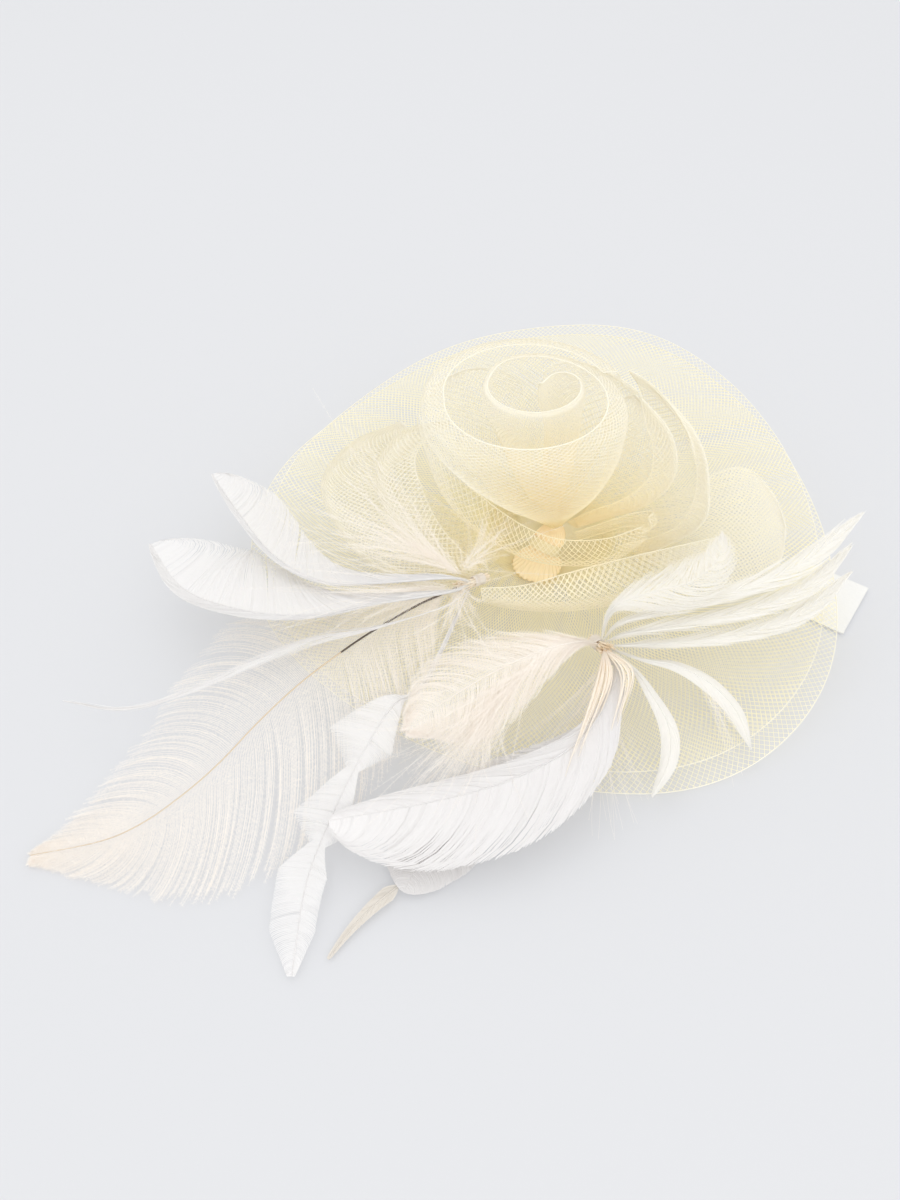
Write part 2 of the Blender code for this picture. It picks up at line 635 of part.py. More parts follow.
def ear(centre, foot, radius, hole, y_low, y_high, sides=20):
    """A hinge ear: round at one end, square at its foot, with a hole through it along Y."""
    body = bmesh.new()
    reach = abs(foot - centre[1])
    down = math.copysign(1.0, foot - centre[1])
    rings = []
    for i in range(sides):
        x, z = math.cos(2 * math.pi * i / sides), math.sin(2 * math.pi * i / sides)
        stretch = 1.0
        if z * down > 1e-6:
            stretch = min(1.0 / max(abs(x), 1e-6), reach / radius / abs(z))
        outer = (centre[0] + radius * x * stretch, centre[1] + radius * z * stretch)
        inner = (centre[0] + hole * x, centre[1] + hole * z)
        rings.append([body.verts.new(place((p[0], y, p[1]))) for p, y in (
            (inner, y_low), (outer, y_low), (outer, y_high), (inner, y_high))])
    for i in range(sides):
        one, two = rings[i], rings[(i + 1) % sides]
        for k in range(4):
            m = (k + 1) % 4
            body.faces.new((one[k], one[m], two[m], two[k]))
    return body


def ears(centre, foot, radius, hole, middle, inner, outer):
    """The two ears of a hinge, on either side of its middle plane."""
    return [("UNION", ear(centre, foot, radius, hole, middle - outer, middle - inner)),
            ("UNION", ear(centre, foot, radius, hole, middle + inner, middle + outer))]


def make_clip():
    pivot_x, pivot_z = CLIP_PIVOT
    plate_top = PAD_BOTTOM - GAP
    plate_bottom = plate_top - CLIP_PLATE
    half = CLIP_WIDTH / 2
    end = CLIP_LENGTH / 2
    base = finish("clip_base", block((-end, CLIP_Y - half, plate_bottom), (end, CLIP_Y + half, plate_top)),
                  steel())
    combine(base, ears(CLIP_PIVOT, plate_bottom + 0.5, CLIP_EAR_RADIUS, CLIP_HOLE_RADIUS, CLIP_Y,
                       half - 0.85, half - 0.05))

    lever_line = ((end, 14.6), (20.0, 14.0), (4.0, 11.6), (-6.0, 8.9), (-15.0, 7.6), (-20.0, 4.4),
                  (-26.0, 0.8), (-29.0, 0.4))
    lever = finish("clip_lever", strip(lever_line, 0.8, CLIP_Y - 3.7, CLIP_Y + 3.7), steel())
    combine(lever, ears(CLIP_PIVOT, 8.3, 2.1, CLIP_HOLE_RADIUS, CLIP_Y, 2.9, 3.5))

    finish("clip_pin", rod((pivot_x, CLIP_Y - half - 0.7, pivot_z), (pivot_x, CLIP_Y + half + 0.7, pivot_z),
                           CLIP_PIN_RADIUS, 16), steel())

    base_leg = (pivot_x + 13.0, CLIP_Y - 2.0, plate_bottom - 0.75)
    lever_leg = (pivot_x - 8.0, CLIP_Y + 2.0, pivot_z - 4.2)
    steps = 10 * SPRING_TURNS
    start, sweep = math.radians(104), 2 * math.pi * SPRING_TURNS + math.radians(14)
    coil = []
    for i in range(steps + 1):
        angle = start + sweep * i / steps
        coil.append((pivot_x + SPRING_RADIUS * math.cos(angle), CLIP_Y - 2.0 + 4.0 * i / steps,
                     pivot_z + SPRING_RADIUS * math.sin(angle)))
    finish("clip_spring", wire([base_leg, *coil, lever_leg], SPRING_WIRE, 6), steel())


def arc_tube(inner, outer, mouth, x_low, x_high, steps=14):
    """A split ring along X at the brooch axis, open downwards by the mouth's angle."""
    body = bmesh.new()
    rings = []
    first = -math.pi / 2 + mouth / 2
    sweep = 2 * math.pi - mouth
    for i in range(steps + 1):
        angle = first + sweep * i / steps
        rings.append([body.verts.new(place((x, BROOCH_Y + r * math.cos(angle),
                                            BROOCH_AXIS_Z + r * math.sin(angle))))
                      for x, r in ((x_low, inner), (x_low, outer), (x_high, outer), (x_high, inner))])
    for one, two in zip(rings, rings[1:]):
        for k in range(4):
            m = (k + 1) % 4
            body.faces.new((one[k], one[m], two[m], two[k]))
    body.faces.new(rings[0][::-1])
    body.faces.new(rings[-1])
    return body


def make_brooch():
    top = PAD_BOTTOM - GAP
    bottom = top - BROOCH_BAR
    end = BROOCH_LENGTH / 2
    half = BROOCH_WIDTH / 2
    pivot_x, catch_x = end - 3.0, -end + 2.0
    bar = finish("brooch_bar", block((-end, BROOCH_Y - half, bottom), (end, BROOCH_Y + half, top)), steel())
    steps = [("UNION", arc_tube(*HOUSING_RADII, CATCH_MOUTH, catch_x - 1.2, catch_x + 1.2))]
    steps.append(("UNION", block((catch_x - 1.2, BROOCH_Y - 1.0, BROOCH_AXIS_Z + HOUSING_RADII[0] + 0.2),
                                 (catch_x + 1.2, BROOCH_Y + 1.0, bottom + 0.4))))
    steps += ears((pivot_x, BROOCH_AXIS_Z), bottom + 0.4, 1.6, 0.75, BROOCH_Y, 1.3, 2.0)
    combine(bar, steps)

    finish("brooch_rivet", rod((pivot_x, BROOCH_Y - 2.4, BROOCH_AXIS_Z),
                               (pivot_x, BROOCH_Y + 2.4, BROOCH_AXIS_Z), 0.5, 12), steel())

    pin = finish("brooch_pin", rod((pivot_x, BROOCH_Y - 0.9, BROOCH_AXIS_Z),
                                   (pivot_x, BROOCH_Y + 0.9, BROOCH_AXIS_Z), 1.3, 16), steel())
    needle = wire([(pivot_x - 0.9, BROOCH_Y, BROOCH_AXIS_Z), (catch_x - 3.0, BROOCH_Y, BROOCH_AXIS_Z),
                   (catch_x - 6.5, BROOCH_Y, BROOCH_AXIS_Z)], PIN_RADIUS, 8)
    combine(pin, [("UNION", needle),
                  ("DIFFERENCE", rod((pivot_x, BROOCH_Y - 4, BROOCH_AXIS_Z),
                                     (pivot_x, BROOCH_Y + 4, BROOCH_AXIS_Z), 0.75, 14))])

    roller = finish("catch_roller", arc_tube(*ROLLER_RADII, CATCH_MOUTH, catch_x - 2.0, catch_x + 2.4),
                    steel())
    tab = block((catch_x + 1.6, BROOCH_Y + 1.0, BROOCH_AXIS_Z - 0.4),
                (catch_x + 2.4, BROOCH_Y + 3.4, BROOCH_AXIS_Z + 0.4))
    combine(roller, [("UNION", tab)])


def main():
    for old in list(bpy.data.objects):
        bpy.data.objects.remove(old)
    make_brim()
    make_flower()
    make_feathers()
    make_tag()
    make_clip()
    make_brooch()


main()
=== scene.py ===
"""Fascinator headpiece: the looks.

Crin net is woven thread by thread, feathers grow barb by barb. Every shape is worked out in
millimetres from the middle of the brim on the surface that the hat lies on, as in the CAD
model, and row_frame() turns it into metres in the shared frame.
"""

import math

import bpy
import numpy as np
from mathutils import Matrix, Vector


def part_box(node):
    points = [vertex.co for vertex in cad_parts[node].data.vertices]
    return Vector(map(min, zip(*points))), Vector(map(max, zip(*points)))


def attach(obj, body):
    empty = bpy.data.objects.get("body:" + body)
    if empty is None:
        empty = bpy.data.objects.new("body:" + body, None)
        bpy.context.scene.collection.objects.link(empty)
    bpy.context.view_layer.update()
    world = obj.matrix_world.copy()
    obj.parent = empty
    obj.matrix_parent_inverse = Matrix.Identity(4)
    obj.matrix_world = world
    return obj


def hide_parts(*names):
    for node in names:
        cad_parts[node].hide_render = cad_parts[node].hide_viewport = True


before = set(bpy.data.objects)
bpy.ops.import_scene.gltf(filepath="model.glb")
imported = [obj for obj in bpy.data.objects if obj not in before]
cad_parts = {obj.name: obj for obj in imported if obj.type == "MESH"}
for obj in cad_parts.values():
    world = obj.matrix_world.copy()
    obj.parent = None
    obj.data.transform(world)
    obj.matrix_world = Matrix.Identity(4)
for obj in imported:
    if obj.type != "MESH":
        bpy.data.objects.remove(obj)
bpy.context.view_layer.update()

BODY = "headpiece"
MM = 0.001
DISC = np.array(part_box("base_disc")) * 1000.0
BRIM_CENTRE = np.array([*DISC.mean(axis=0)[:2], 0.0])


# ---------- general

def row_frame(points):
    return (np.asarray(points, float) + BRIM_CENTRE) * MM


def unit(vectors):
    lengths = np.linalg.norm(vectors, axis=-1, keepdims=True)
    return vectors / np.maximum(lengths, 1e-9)


def ease(value):
    value = np.clip(value, 0.0, 1.0)
    return value * value * (3.0 - 2.0 * value)


def curve(points, t):
    """Points at t, from 0 to 1, on a smooth curve through the given points."""
    p = np.asarray(points, float)
    if p.ndim == 1:
        p = p[:, None]
    p = np.vstack([2 * p[0] - p[1], p, 2 * p[-1] - p[-2]])
    spans = len(p) - 3
    along = np.clip(t, 0.0, 1.0) * spans
    i = np.minimum(along.astype(int), spans - 1)
    f = (along - i)[..., None]
    a, b, c, d = p[i], p[i + 1], p[i + 2], p[i + 3]
    return 0.5 * (2 * b + (c - a) * f + (2 * a - 5 * b + 4 * c - d) * f ** 2
                  + (3 * b - 3 * c + d - a) * f ** 3)


def arch(near, middle, far, t):
    """Points at t on parabolas through three points."""
    t = t[..., None]
    top = middle * 2 - (near + far) / 2
    return near * (1 - t) ** 2 + top * (2 * t * (1 - t)) + far * t ** 2


def normals_of(surface, u, v, steps=(0.004, 0.004), low=0.0):
    """Normals at (u, v), by differences inside the surface, where v runs from low to 1."""
    one = surface(np.minimum(u + steps[0], 1.0), v) - surface(np.maximum(u - steps[0], 0.0), v)
    two = surface(u, np.minimum(v + steps[1], 1.0)) - surface(u, np.maximum(v - steps[1], low))
    return unit(np.cross(one, two))


class Mesh:
    """Gathers vertices and four-sided faces, each with the number of its material."""

    def __init__(self):
        self.points, self.faces, self.looks, self.count = [], [], [], 0

    def add(self, points, faces, look=0):
        self.points.append(points.reshape(-1, 3))
        self.faces.append(faces.reshape(-1, 4) + self.count)
        self.looks.append(np.full(faces.size // 4, look))
        self.count += points.size // 3

    def threads(self, points, normals, radius, breaks, sides=3, look=0):
        """Thin tubes along runs of points. breaks marks the first point of each run."""
        along = np.gradient(points, axis=0)
        first = np.flatnonzero(breaks)
        last = np.append(first[1:], len(points)) - 1
        along[first] = points[first + 1] - points[first]
        along[last] = points[last] - points[last - 1]
        along = unit(along)
        across = unit(np.cross(along, normals))
        up = np.cross(across, along)
        turn = 2 * math.pi * np.arange(sides) / sides
        radius = np.broadcast_to(radius, (len(points),))[:, None, None]
        cosine, sine = np.cos(turn)[None, :, None], np.sin(turn)[None, :, None]
        ring = up[:, None] * cosine + across[:, None] * sine
        skin = points[:, None] + ring * radius
        starts = np.setdiff1d(np.arange(len(points)), last)
        k = np.arange(sides)
        m = (k + 1) % sides
        low, high = starts[:, None] * sides, (starts + 1)[:, None] * sides
        self.add(skin, np.stack([low + k, low + m, high + m, high + k], axis=-1), look)

    def tube(self, line, radius, sides=8, look=0, closed=False):
        """One round tube along a line of points, with tapered radii."""
        line = np.asarray(line, float)
        if closed:
            line = np.vstack([line, line[:1]])
        along = unit(np.gradient(line, axis=0))
        guide = np.cross(along[0], (0.3, 0.2, 1.0))
        ups = []
        for direction in along:
            guide = unit(guide - direction * np.dot(guide, direction))
            ups.append(guide)
        breaks = np.zeros(len(line), bool)
        breaks[0] = True
        self.threads(line, np.array(ups), radius, breaks, sides, look)

    def ribbons(self, centres, across, half, look=0):
        """Flat ribbons: centres and across are (ribbon, sample, 3), half (ribbon, sample)."""
        reach = across * half[..., None]
        edges = np.stack([centres - reach, centres + reach], axis=2)
        count, samples = centres.shape[:2]
        row = (np.arange(count) * samples)[:, None] + np.arange(samples - 1)
        low = row * 2
        self.add(edges, np.stack([low, low + 1, low + 3, low + 2], axis=-1), look)

    def sheet(self, points, closed=False, look=0):
        """A smooth surface through a grid of points."""
        rows, columns = points.shape[:2]
        i = np.arange(rows if closed else rows - 1)[:, None]
        j = np.arange(columns - 1)[None, :]
        k = (i + 1) % rows
        self.add(points, np.stack([i * columns + j, k * columns + j, k * columns + j + 1,
                                   i * columns + j + 1], axis=-1), look)

    def piece(self, name, looks, smooth=True):
        """The finished object, in the shared frame and riding on the hat."""
        points = row_frame(np.concatenate(self.points)).astype(np.float32)
        faces = np.concatenate(self.faces).astype(np.int32)
        mesh = bpy.data.meshes.new(name)
        mesh.vertices.add(len(points))
        mesh.vertices.foreach_set("co", points.ravel())
        mesh.loops.add(faces.size)
        mesh.loops.foreach_set("vertex_index", faces.ravel())
        mesh.polygons.add(len(faces))
        mesh.polygons.foreach_set("loop_start", np.arange(len(faces), dtype=np.int32) * 4)
        mesh.polygons.foreach_set("material_index", np.concatenate(self.looks).astype(np.int32))
        for look in looks:
            mesh.materials.append(look)
        mesh.update(calc_edges=True)
        mesh.validate()
        if not smooth:
            mesh.shade_flat()
        made = bpy.data.objects.new(name, mesh)
        bpy.context.scene.collection.objects.link(made)
        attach(made, BODY)
        return made


# ---------- materials

def principled(name, colour, roughness, **sockets):
    made = bpy.data.materials.new(name)
    made.use_nodes = True
    shader = made.node_tree.nodes["Principled BSDF"]
    shader.inputs["Base Color"].default_value = (*colour, 1.0)
    shader.inputs["Roughness"].default_value = roughness
    for socket, value in sockets.items():
        shader.inputs[socket.replace("_", " ")].default_value = value
    return made


def glowing(name, colour, roughness, share):
    """A surface that also lets through light from behind it, as fine nylon does."""
    made = principled(name, colour, roughness)
    nodes, links = made.node_tree.nodes, made.node_tree.links
    through = nodes.new("ShaderNodeBsdfTranslucent")
    through.inputs["Color"].default_value = (*colour, 1.0)
    mix = nodes.new("ShaderNodeMixShader")
    mix.inputs["Fac"].default_value = share
    links.new(nodes["Principled BSDF"].outputs["BSDF"], mix.inputs[1])
    links.new(through.outputs["BSDF"], mix.inputs[2])
    links.new(mix.outputs["Shader"], nodes["Material Output"].inputs["Surface"])
    return made


def tint_between(made, share, low, high):
    """Mixes two colours by the share that a socket gives, for the shader's base colour."""
    nodes, links = made.node_tree.nodes, made.node_tree.links
    tint = nodes.new("ShaderNodeMix")
    tint.data_type = "RGBA"
    tint.inputs[6].default_value = (*low, 1.0)
    tint.inputs[7].default_value = (*high, 1.0)
    links.new(share, tint.inputs["Factor"])
    links.new(tint.outputs[2], nodes["Principled BSDF"].inputs["Base Color"])
    return tint.outputs[2]


def painted_shade_towards_root(made, deep, pale):
    """Nylon deeper in colour towards the bound root of the flower: painted shade for the depths of the
    flower.
    """
    nodes, links = made.node_tree.nodes, made.node_tree.links
    place = nodes.new("ShaderNodeTexCoord")
    away = nodes.new("ShaderNodeVectorMath")
    away.operation = "DISTANCE"
    away.inputs[1].default_value = row_frame(ROSE_TIP)
    share = nodes.new("ShaderNodeMapRange")
    share.interpolation_type = "SMOOTHSTEP"
    share.inputs["From Min"].default_value = DEEP_REACH * MM
    share.inputs["From Max"].default_value = PALE_REACH * MM
    links.new(place.outputs["Object"], away.inputs[0])
    links.new(away.outputs["Value"], share.inputs["Value"])
    tint = tint_between(made, share.outputs["Result"], deep, pale)
    links.new(tint, nodes["Translucent BSDF"].inputs["Color"])
    return made


ROSE_TIP = np.array([0.0, -19.0, 44.0])
DEEP_REACH = 10.0  # the painted shade is deepest up to here from the rose's tip
PALE_REACH = 75.0  # and palest from here on
IVORY = (1.0, 0.97, 0.83)
# Painted shade: crin thread and its corded edges grow deeper and more orange towards the rose's tip.
CRIN = painted_shade_towards_root(glowing("crin_thread", IVORY, 0.45, 0.3), (0.975, 0.91, 0.69), (0.955, 0.935, 0.86))
CRIN_EDGE = painted_shade_towards_root(glowing("crin_edge", IVORY, 0.5, 0.12), (0.95, 0.87, 0.60), (0.93, 0.905, 0.80))
CRIN_BRIM = glowing("crin_brim", (0.98, 0.945, 0.765), 0.45, 0.45)
# Gathered crin of the flower's root: its deep orange is painted shade for the shadowed knot.
CRIN_GATHERED_SHADE = glowing("crin_gathered_shade", (0.98, 0.84, 0.55), 0.6, 0.15)
WHITE = glowing("feather_white", (0.875, 0.865, 0.86), 0.5, 0.35)
DOWN = glowing("feather_down", (0.93, 0.92, 0.895), 0.6, 0.4)
SATIN = glowing("feather_satin", (0.83, 0.815, 0.81), 0.36, 0.2)
CREAM = glowing("feather_cream", (0.935, 0.895, 0.845), 0.6, 0.25)
TAN = glowing("feather_tan", (0.80, 0.76, 0.70), 0.6, 0.25)
QUILL = glowing("quill_ivory", (0.97, 0.89, 0.76), 0.4, 0.2)
STRAND = glowing("strand_ivory", (1.0, 0.96, 0.90), 0.5, 0.5)
QUILL_DARK = principled("quill_dark", (0.10, 0.075, 0.06), 0.4)
QUILL_TAN = principled("quill_tan", (0.66, 0.53, 0.38), 0.45)


# ---------- crin net

THREAD = 0.13  # radius of one thread
EDGE_CORD = 0.22  # radius of the brim's woven edge
FOLD = 0.2  # radius of the fold along a petal's lip
LIP = 0.28  # radius of the rolled lip of the rose
SHORTEST = 1.0  # threads with less rise than this are left out
LAYER_PHASE = 0.12  # shift of a second layer's threads, in pitches


def weave(surface, width, height, pitch, closed, phase, segment):
    """Threads of a net cut on the bias, as points, normals and the first of each run."""
    step = pitch * math.sqrt(2.0)
    if closed:
        step = width / round(width / step)
    us, vs, breaks, over = [], [], [], []
    for slope in (1, -1):
        low = 0.0 if closed or slope < 0 else -height
        high = width + (height if slope < 0 and not closed else 0.0)
        for start in np.arange(low + phase * step, high - 1e-6, step):
            bottom, top = 0.0, height
            if not closed:
                ends = sorted((-start * slope, (width - start) * slope))
                bottom, top = max(bottom, ends[0]), min(top, ends[1])
            if top - bottom < SHORTEST:
                continue
            count = max(2, math.ceil((top - bottom) * math.sqrt(2.0) / segment) + 1)
            v = np.linspace(bottom, top, count)
            us.append(start + slope * v)
            vs.append(v)
            breaks.append(np.arange(count) == 0)
            over.append(np.full(count, slope * THREAD * 0.5))
    u = np.concatenate(us) / width
    v = np.concatenate(vs) / height
    if closed:
        u = u % 1.0
    normals = normals_of(surface, u, v)
    points = surface(u, v) + normals * np.concatenate(over)[:, None]
    return points, normals, np.concatenate(breaks)


def edge_line(surface, u, v):
    u, v = np.broadcast_arrays(np.asarray(u, float), np.asarray(v, float))
    return surface(u, v)


def net_piece(name, nodes, surfaces, flat, pitch, edges, segment, closed=False, edge=FOLD,
              look=CRIN):
    """A piece of crin: the same strip on each of its surfaces, with corded edges."""
    width, height = flat
    mesh = Mesh()
    for i, surface in enumerate(surfaces):
        points, normals, breaks = weave(surface, width, height, pitch, closed, i * LAYER_PHASE, segment)
        mesh.threads(points, normals, THREAD, breaks)
    for line, loop in edges:
        mesh.tube(line, edge, 6, look=1, closed=loop)
    made = mesh.piece(name, [look, CRIN_EDGE], smooth=False)
    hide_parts(*nodes)
    return made


def doubled(surface, gap):
    """The two sides of a strip that is folded along its lip, at v = 1."""
    def side(sign):
        def moved(u, v):
            lift = sign * 0.5 * gap * np.sqrt(np.clip(1.0 - v ** 8, 0.0, 1.0))
            return surface(u, v) + normals_of(surface, u, v) * lift[..., None]
        return moved
    return [side(1.0), side(-1.0)]


# ---------- brim

RIM_RADIUS = 148.0
LOBE_REACH, LOBE_ANGLE = 8.0, math.radians(67)  # three shallow lobes in the outline
OFFSET, OFFSET_ANGLE = 4.0, math.radians(60)
BACK_TRIM = (7.0, 5.0)  # how much less the lower and the upper layer reach at the back
RIGHT_TRIM, LEFT_TRIM = 9.0, 8.0  # and the upper one at the front right and the left
BRIM_HOLE = 3.0
BRIM_HEIGHT = 22.0
BRIM_TILT = 0.147  # rise towards the back, per unit of length
BRIM_GAP = 2.4
RUFFLES, RUFFLE_HEIGHT = 7, 1.3
GATHERS, GATHER_HEIGHT = 52, 0.7
GATHERS_START, GATHERS_FULL, GATHERS_FADE, GATHERS_END = 33.0, 53.0, 50.0, 95.0
FLAT_RADIUS, TILTED_RADIUS = 36.0, 84.0  # the level part over the pad, and where the tilt is full
BRIM_PITCH = 2.1


def rim_radius(angle):
    return (RIM_RADIUS + LOBE_REACH * np.cos(3 * (angle - LOBE_ANGLE))
            + OFFSET * np.cos(angle - OFFSET_ANGLE))


def lower_rim(angle):
    return rim_radius(angle) - BACK_TRIM[0] * np.maximum(0.0, np.sin(angle))


def upper_rim(angle):
    back = np.maximum(0.0, np.sin(angle))
    front_right = np.maximum(0.0, np.cos(angle + math.radians(50)))
    left = np.maximum(0.0, np.cos(angle - math.pi)) ** 4
    return rim_radius(angle) - BACK_TRIM[1] * back - RIGHT_TRIM * front_right - LEFT_TRIM * left


def brim_height(radius, angle, lift):
    tilt = BRIM_TILT * radius * np.sin(angle)
    blend = ease((radius - FLAT_RADIUS) / (TILTED_RADIUS - FLAT_RADIUS))
    share = (radius / RIM_RADIUS) ** 3
    ruffle = RUFFLE_HEIGHT * (1.0 + np.sin(RUFFLES * angle)) * share
    gathers = GATHER_HEIGHT * np.sin(GATHERS * angle)
    gathers = gathers * ease((radius - GATHERS_START) / (GATHERS_FULL - GATHERS_START))
    gathers = gathers * ease((GATHERS_END - radius) / (GATHERS_END - GATHERS_FADE))
    return BRIM_HEIGHT + blend * tilt + ruffle + gathers + lift * (1.0 + share)


def brim_surface(rim_at, lift):
    def surface(u, v):
        angle = 2 * math.pi * u
        radius = BRIM_HOLE + (rim_at(angle) - BRIM_HOLE) * v
        return np.stack([radius * np.cos(angle), radius * np.sin(angle),
                         brim_height(radius, angle, lift)], axis=-1)
    return surface


def make_brim():
    around = np.linspace(0.0, 1.0, 240, endpoint=False)
    flat = (2 * math.pi * RIM_RADIUS, RIM_RADIUS - BRIM_HOLE)
    for name, rim_at, lift in (("brim_lower", lower_rim, 0.0), ("brim_upper", upper_rim, BRIM_GAP)):
        surface = brim_surface(rim_at, lift)
        rim = edge_line(surface, around, 1.0)
        made = net_piece(name + "_net", [name], [surface], flat, BRIM_PITCH, [(rim, True)], closed=True,
                         segment=5.0, edge=EDGE_CORD, look=CRIN_BRIM)
        # The table under the hat stays as pale as in the photograph with one layer's shadow.
        made.visible_shadow = lift > 0.0


# ---------- rose

ROSE_BULGE = np.array([-17.0, -8.0, 98.0])
# Heights and radii of the heart, of the roll and of the outer cup, from tip to lip.
PROFILES = np.array([
    ((62, 2.0), (74, 4.0), (88, 7.0), (97, 9.0), (104, 10.0), (108.3, 9.5), (109.0, 8.5)),
    ((56, 5.0), (66, 11), (80, 17.0), (92, 21.0), (101, 23.2), (108, 23.0), (109.6, 21.0)),
    ((44, 2.5), (57, 15.0), (70, 28.0), (84, 38.5), (98, 45.0), (107, 43.5), (110.2, 35.5))], float)
# How far to the right and to the back each of them leans.
SHIFTS = np.array([(12.0, 7.0), (4.0, 12.0), (0.0, 0.0)])
ROSE_BACK = 0.22  # how much wider the outermost turn opens at the back
SPIRAL_START, SPIRAL_END = 125.0, -690.0  # degrees, as are the next five
HEART_OPENS, ROLL_OPENS, CUP_SPREADS = 135.0, 130.0, 150.0  # over so much of the spiral
ROLL_ENDS, LAST_TURN = -195.0, -430.0
ROSE_STRIP = (430.0, 92.0)
ROSE_PITCH = 1.9


def rose_size(angle):
    """0 for the heart, 1 for the roll and 2 for the outer cup, as the spiral opens."""
    degrees = np.degrees(angle)
    return ease((SPIRAL_START - degrees) / HEART_OPENS) + ease((ROLL_ENDS - degrees) / ROLL_OPENS)


def rose_surface(u, v):
    start, end = math.radians(SPIRAL_START), math.radians(SPIRAL_END)
    angle = start + (end - start) * u
    size = rose_size(angle)
    low = np.minimum(size.astype(int), 1)
    share = (size - low)[..., None]
    ribs = np.stack([curve(profile, v) for profile in PROFILES])
    index = np.indices(low.shape)
    profile = ribs[(low, *index)] * (1 - share) + ribs[(low + 1, *index)] * share
    shift = SHIFTS[low] * (1 - share) + SHIFTS[low + 1] * share
    height, radius = profile[..., 0], profile[..., 1]
    rise = np.clip((height - ROSE_TIP[2]) / (ROSE_BULGE[2] - ROSE_TIP[2]), 0.0, 1.0)
    grow = ease((height - 60.0) / 34.0)
    outermost = ease((LAST_TURN - np.degrees(angle)) / CUP_SPREADS)
    spread = 1.0 + outermost * (0.03 + ROSE_BACK * np.maximum(0.0, np.sin(angle)))
    wave = 1.0 + 0.025 * np.sin(2 * angle + 0.6) * v
    radius = radius * spread * wave
    return np.stack([ROSE_TIP[0] + (ROSE_BULGE[0] - ROSE_TIP[0]) * rise + shift[..., 0] * grow
                     + radius * np.cos(angle),
                     ROSE_TIP[1] + (ROSE_BULGE[1] - ROSE_TIP[1]) * rise + shift[..., 1] * grow
                     + radius * np.sin(angle), height], axis=-1)


def make_rose():
    along = np.linspace(0.0, 1.0, 360)
    up = np.linspace(0.0, 1.0, 40)
    lip = edge_line(rose_surface, along, 1.0)
    edges = [(lip, False)] + [(edge_line(rose_surface, u, up), False) for u in (0.0, 1.0)]
    net_piece("rose_net", ["rose_outer", "rose_roll", "rose_heart"], [rose_surface], ROSE_STRIP,
              ROSE_PITCH, edges, segment=3.2, edge=LIP)


# ---------- loops of the flower

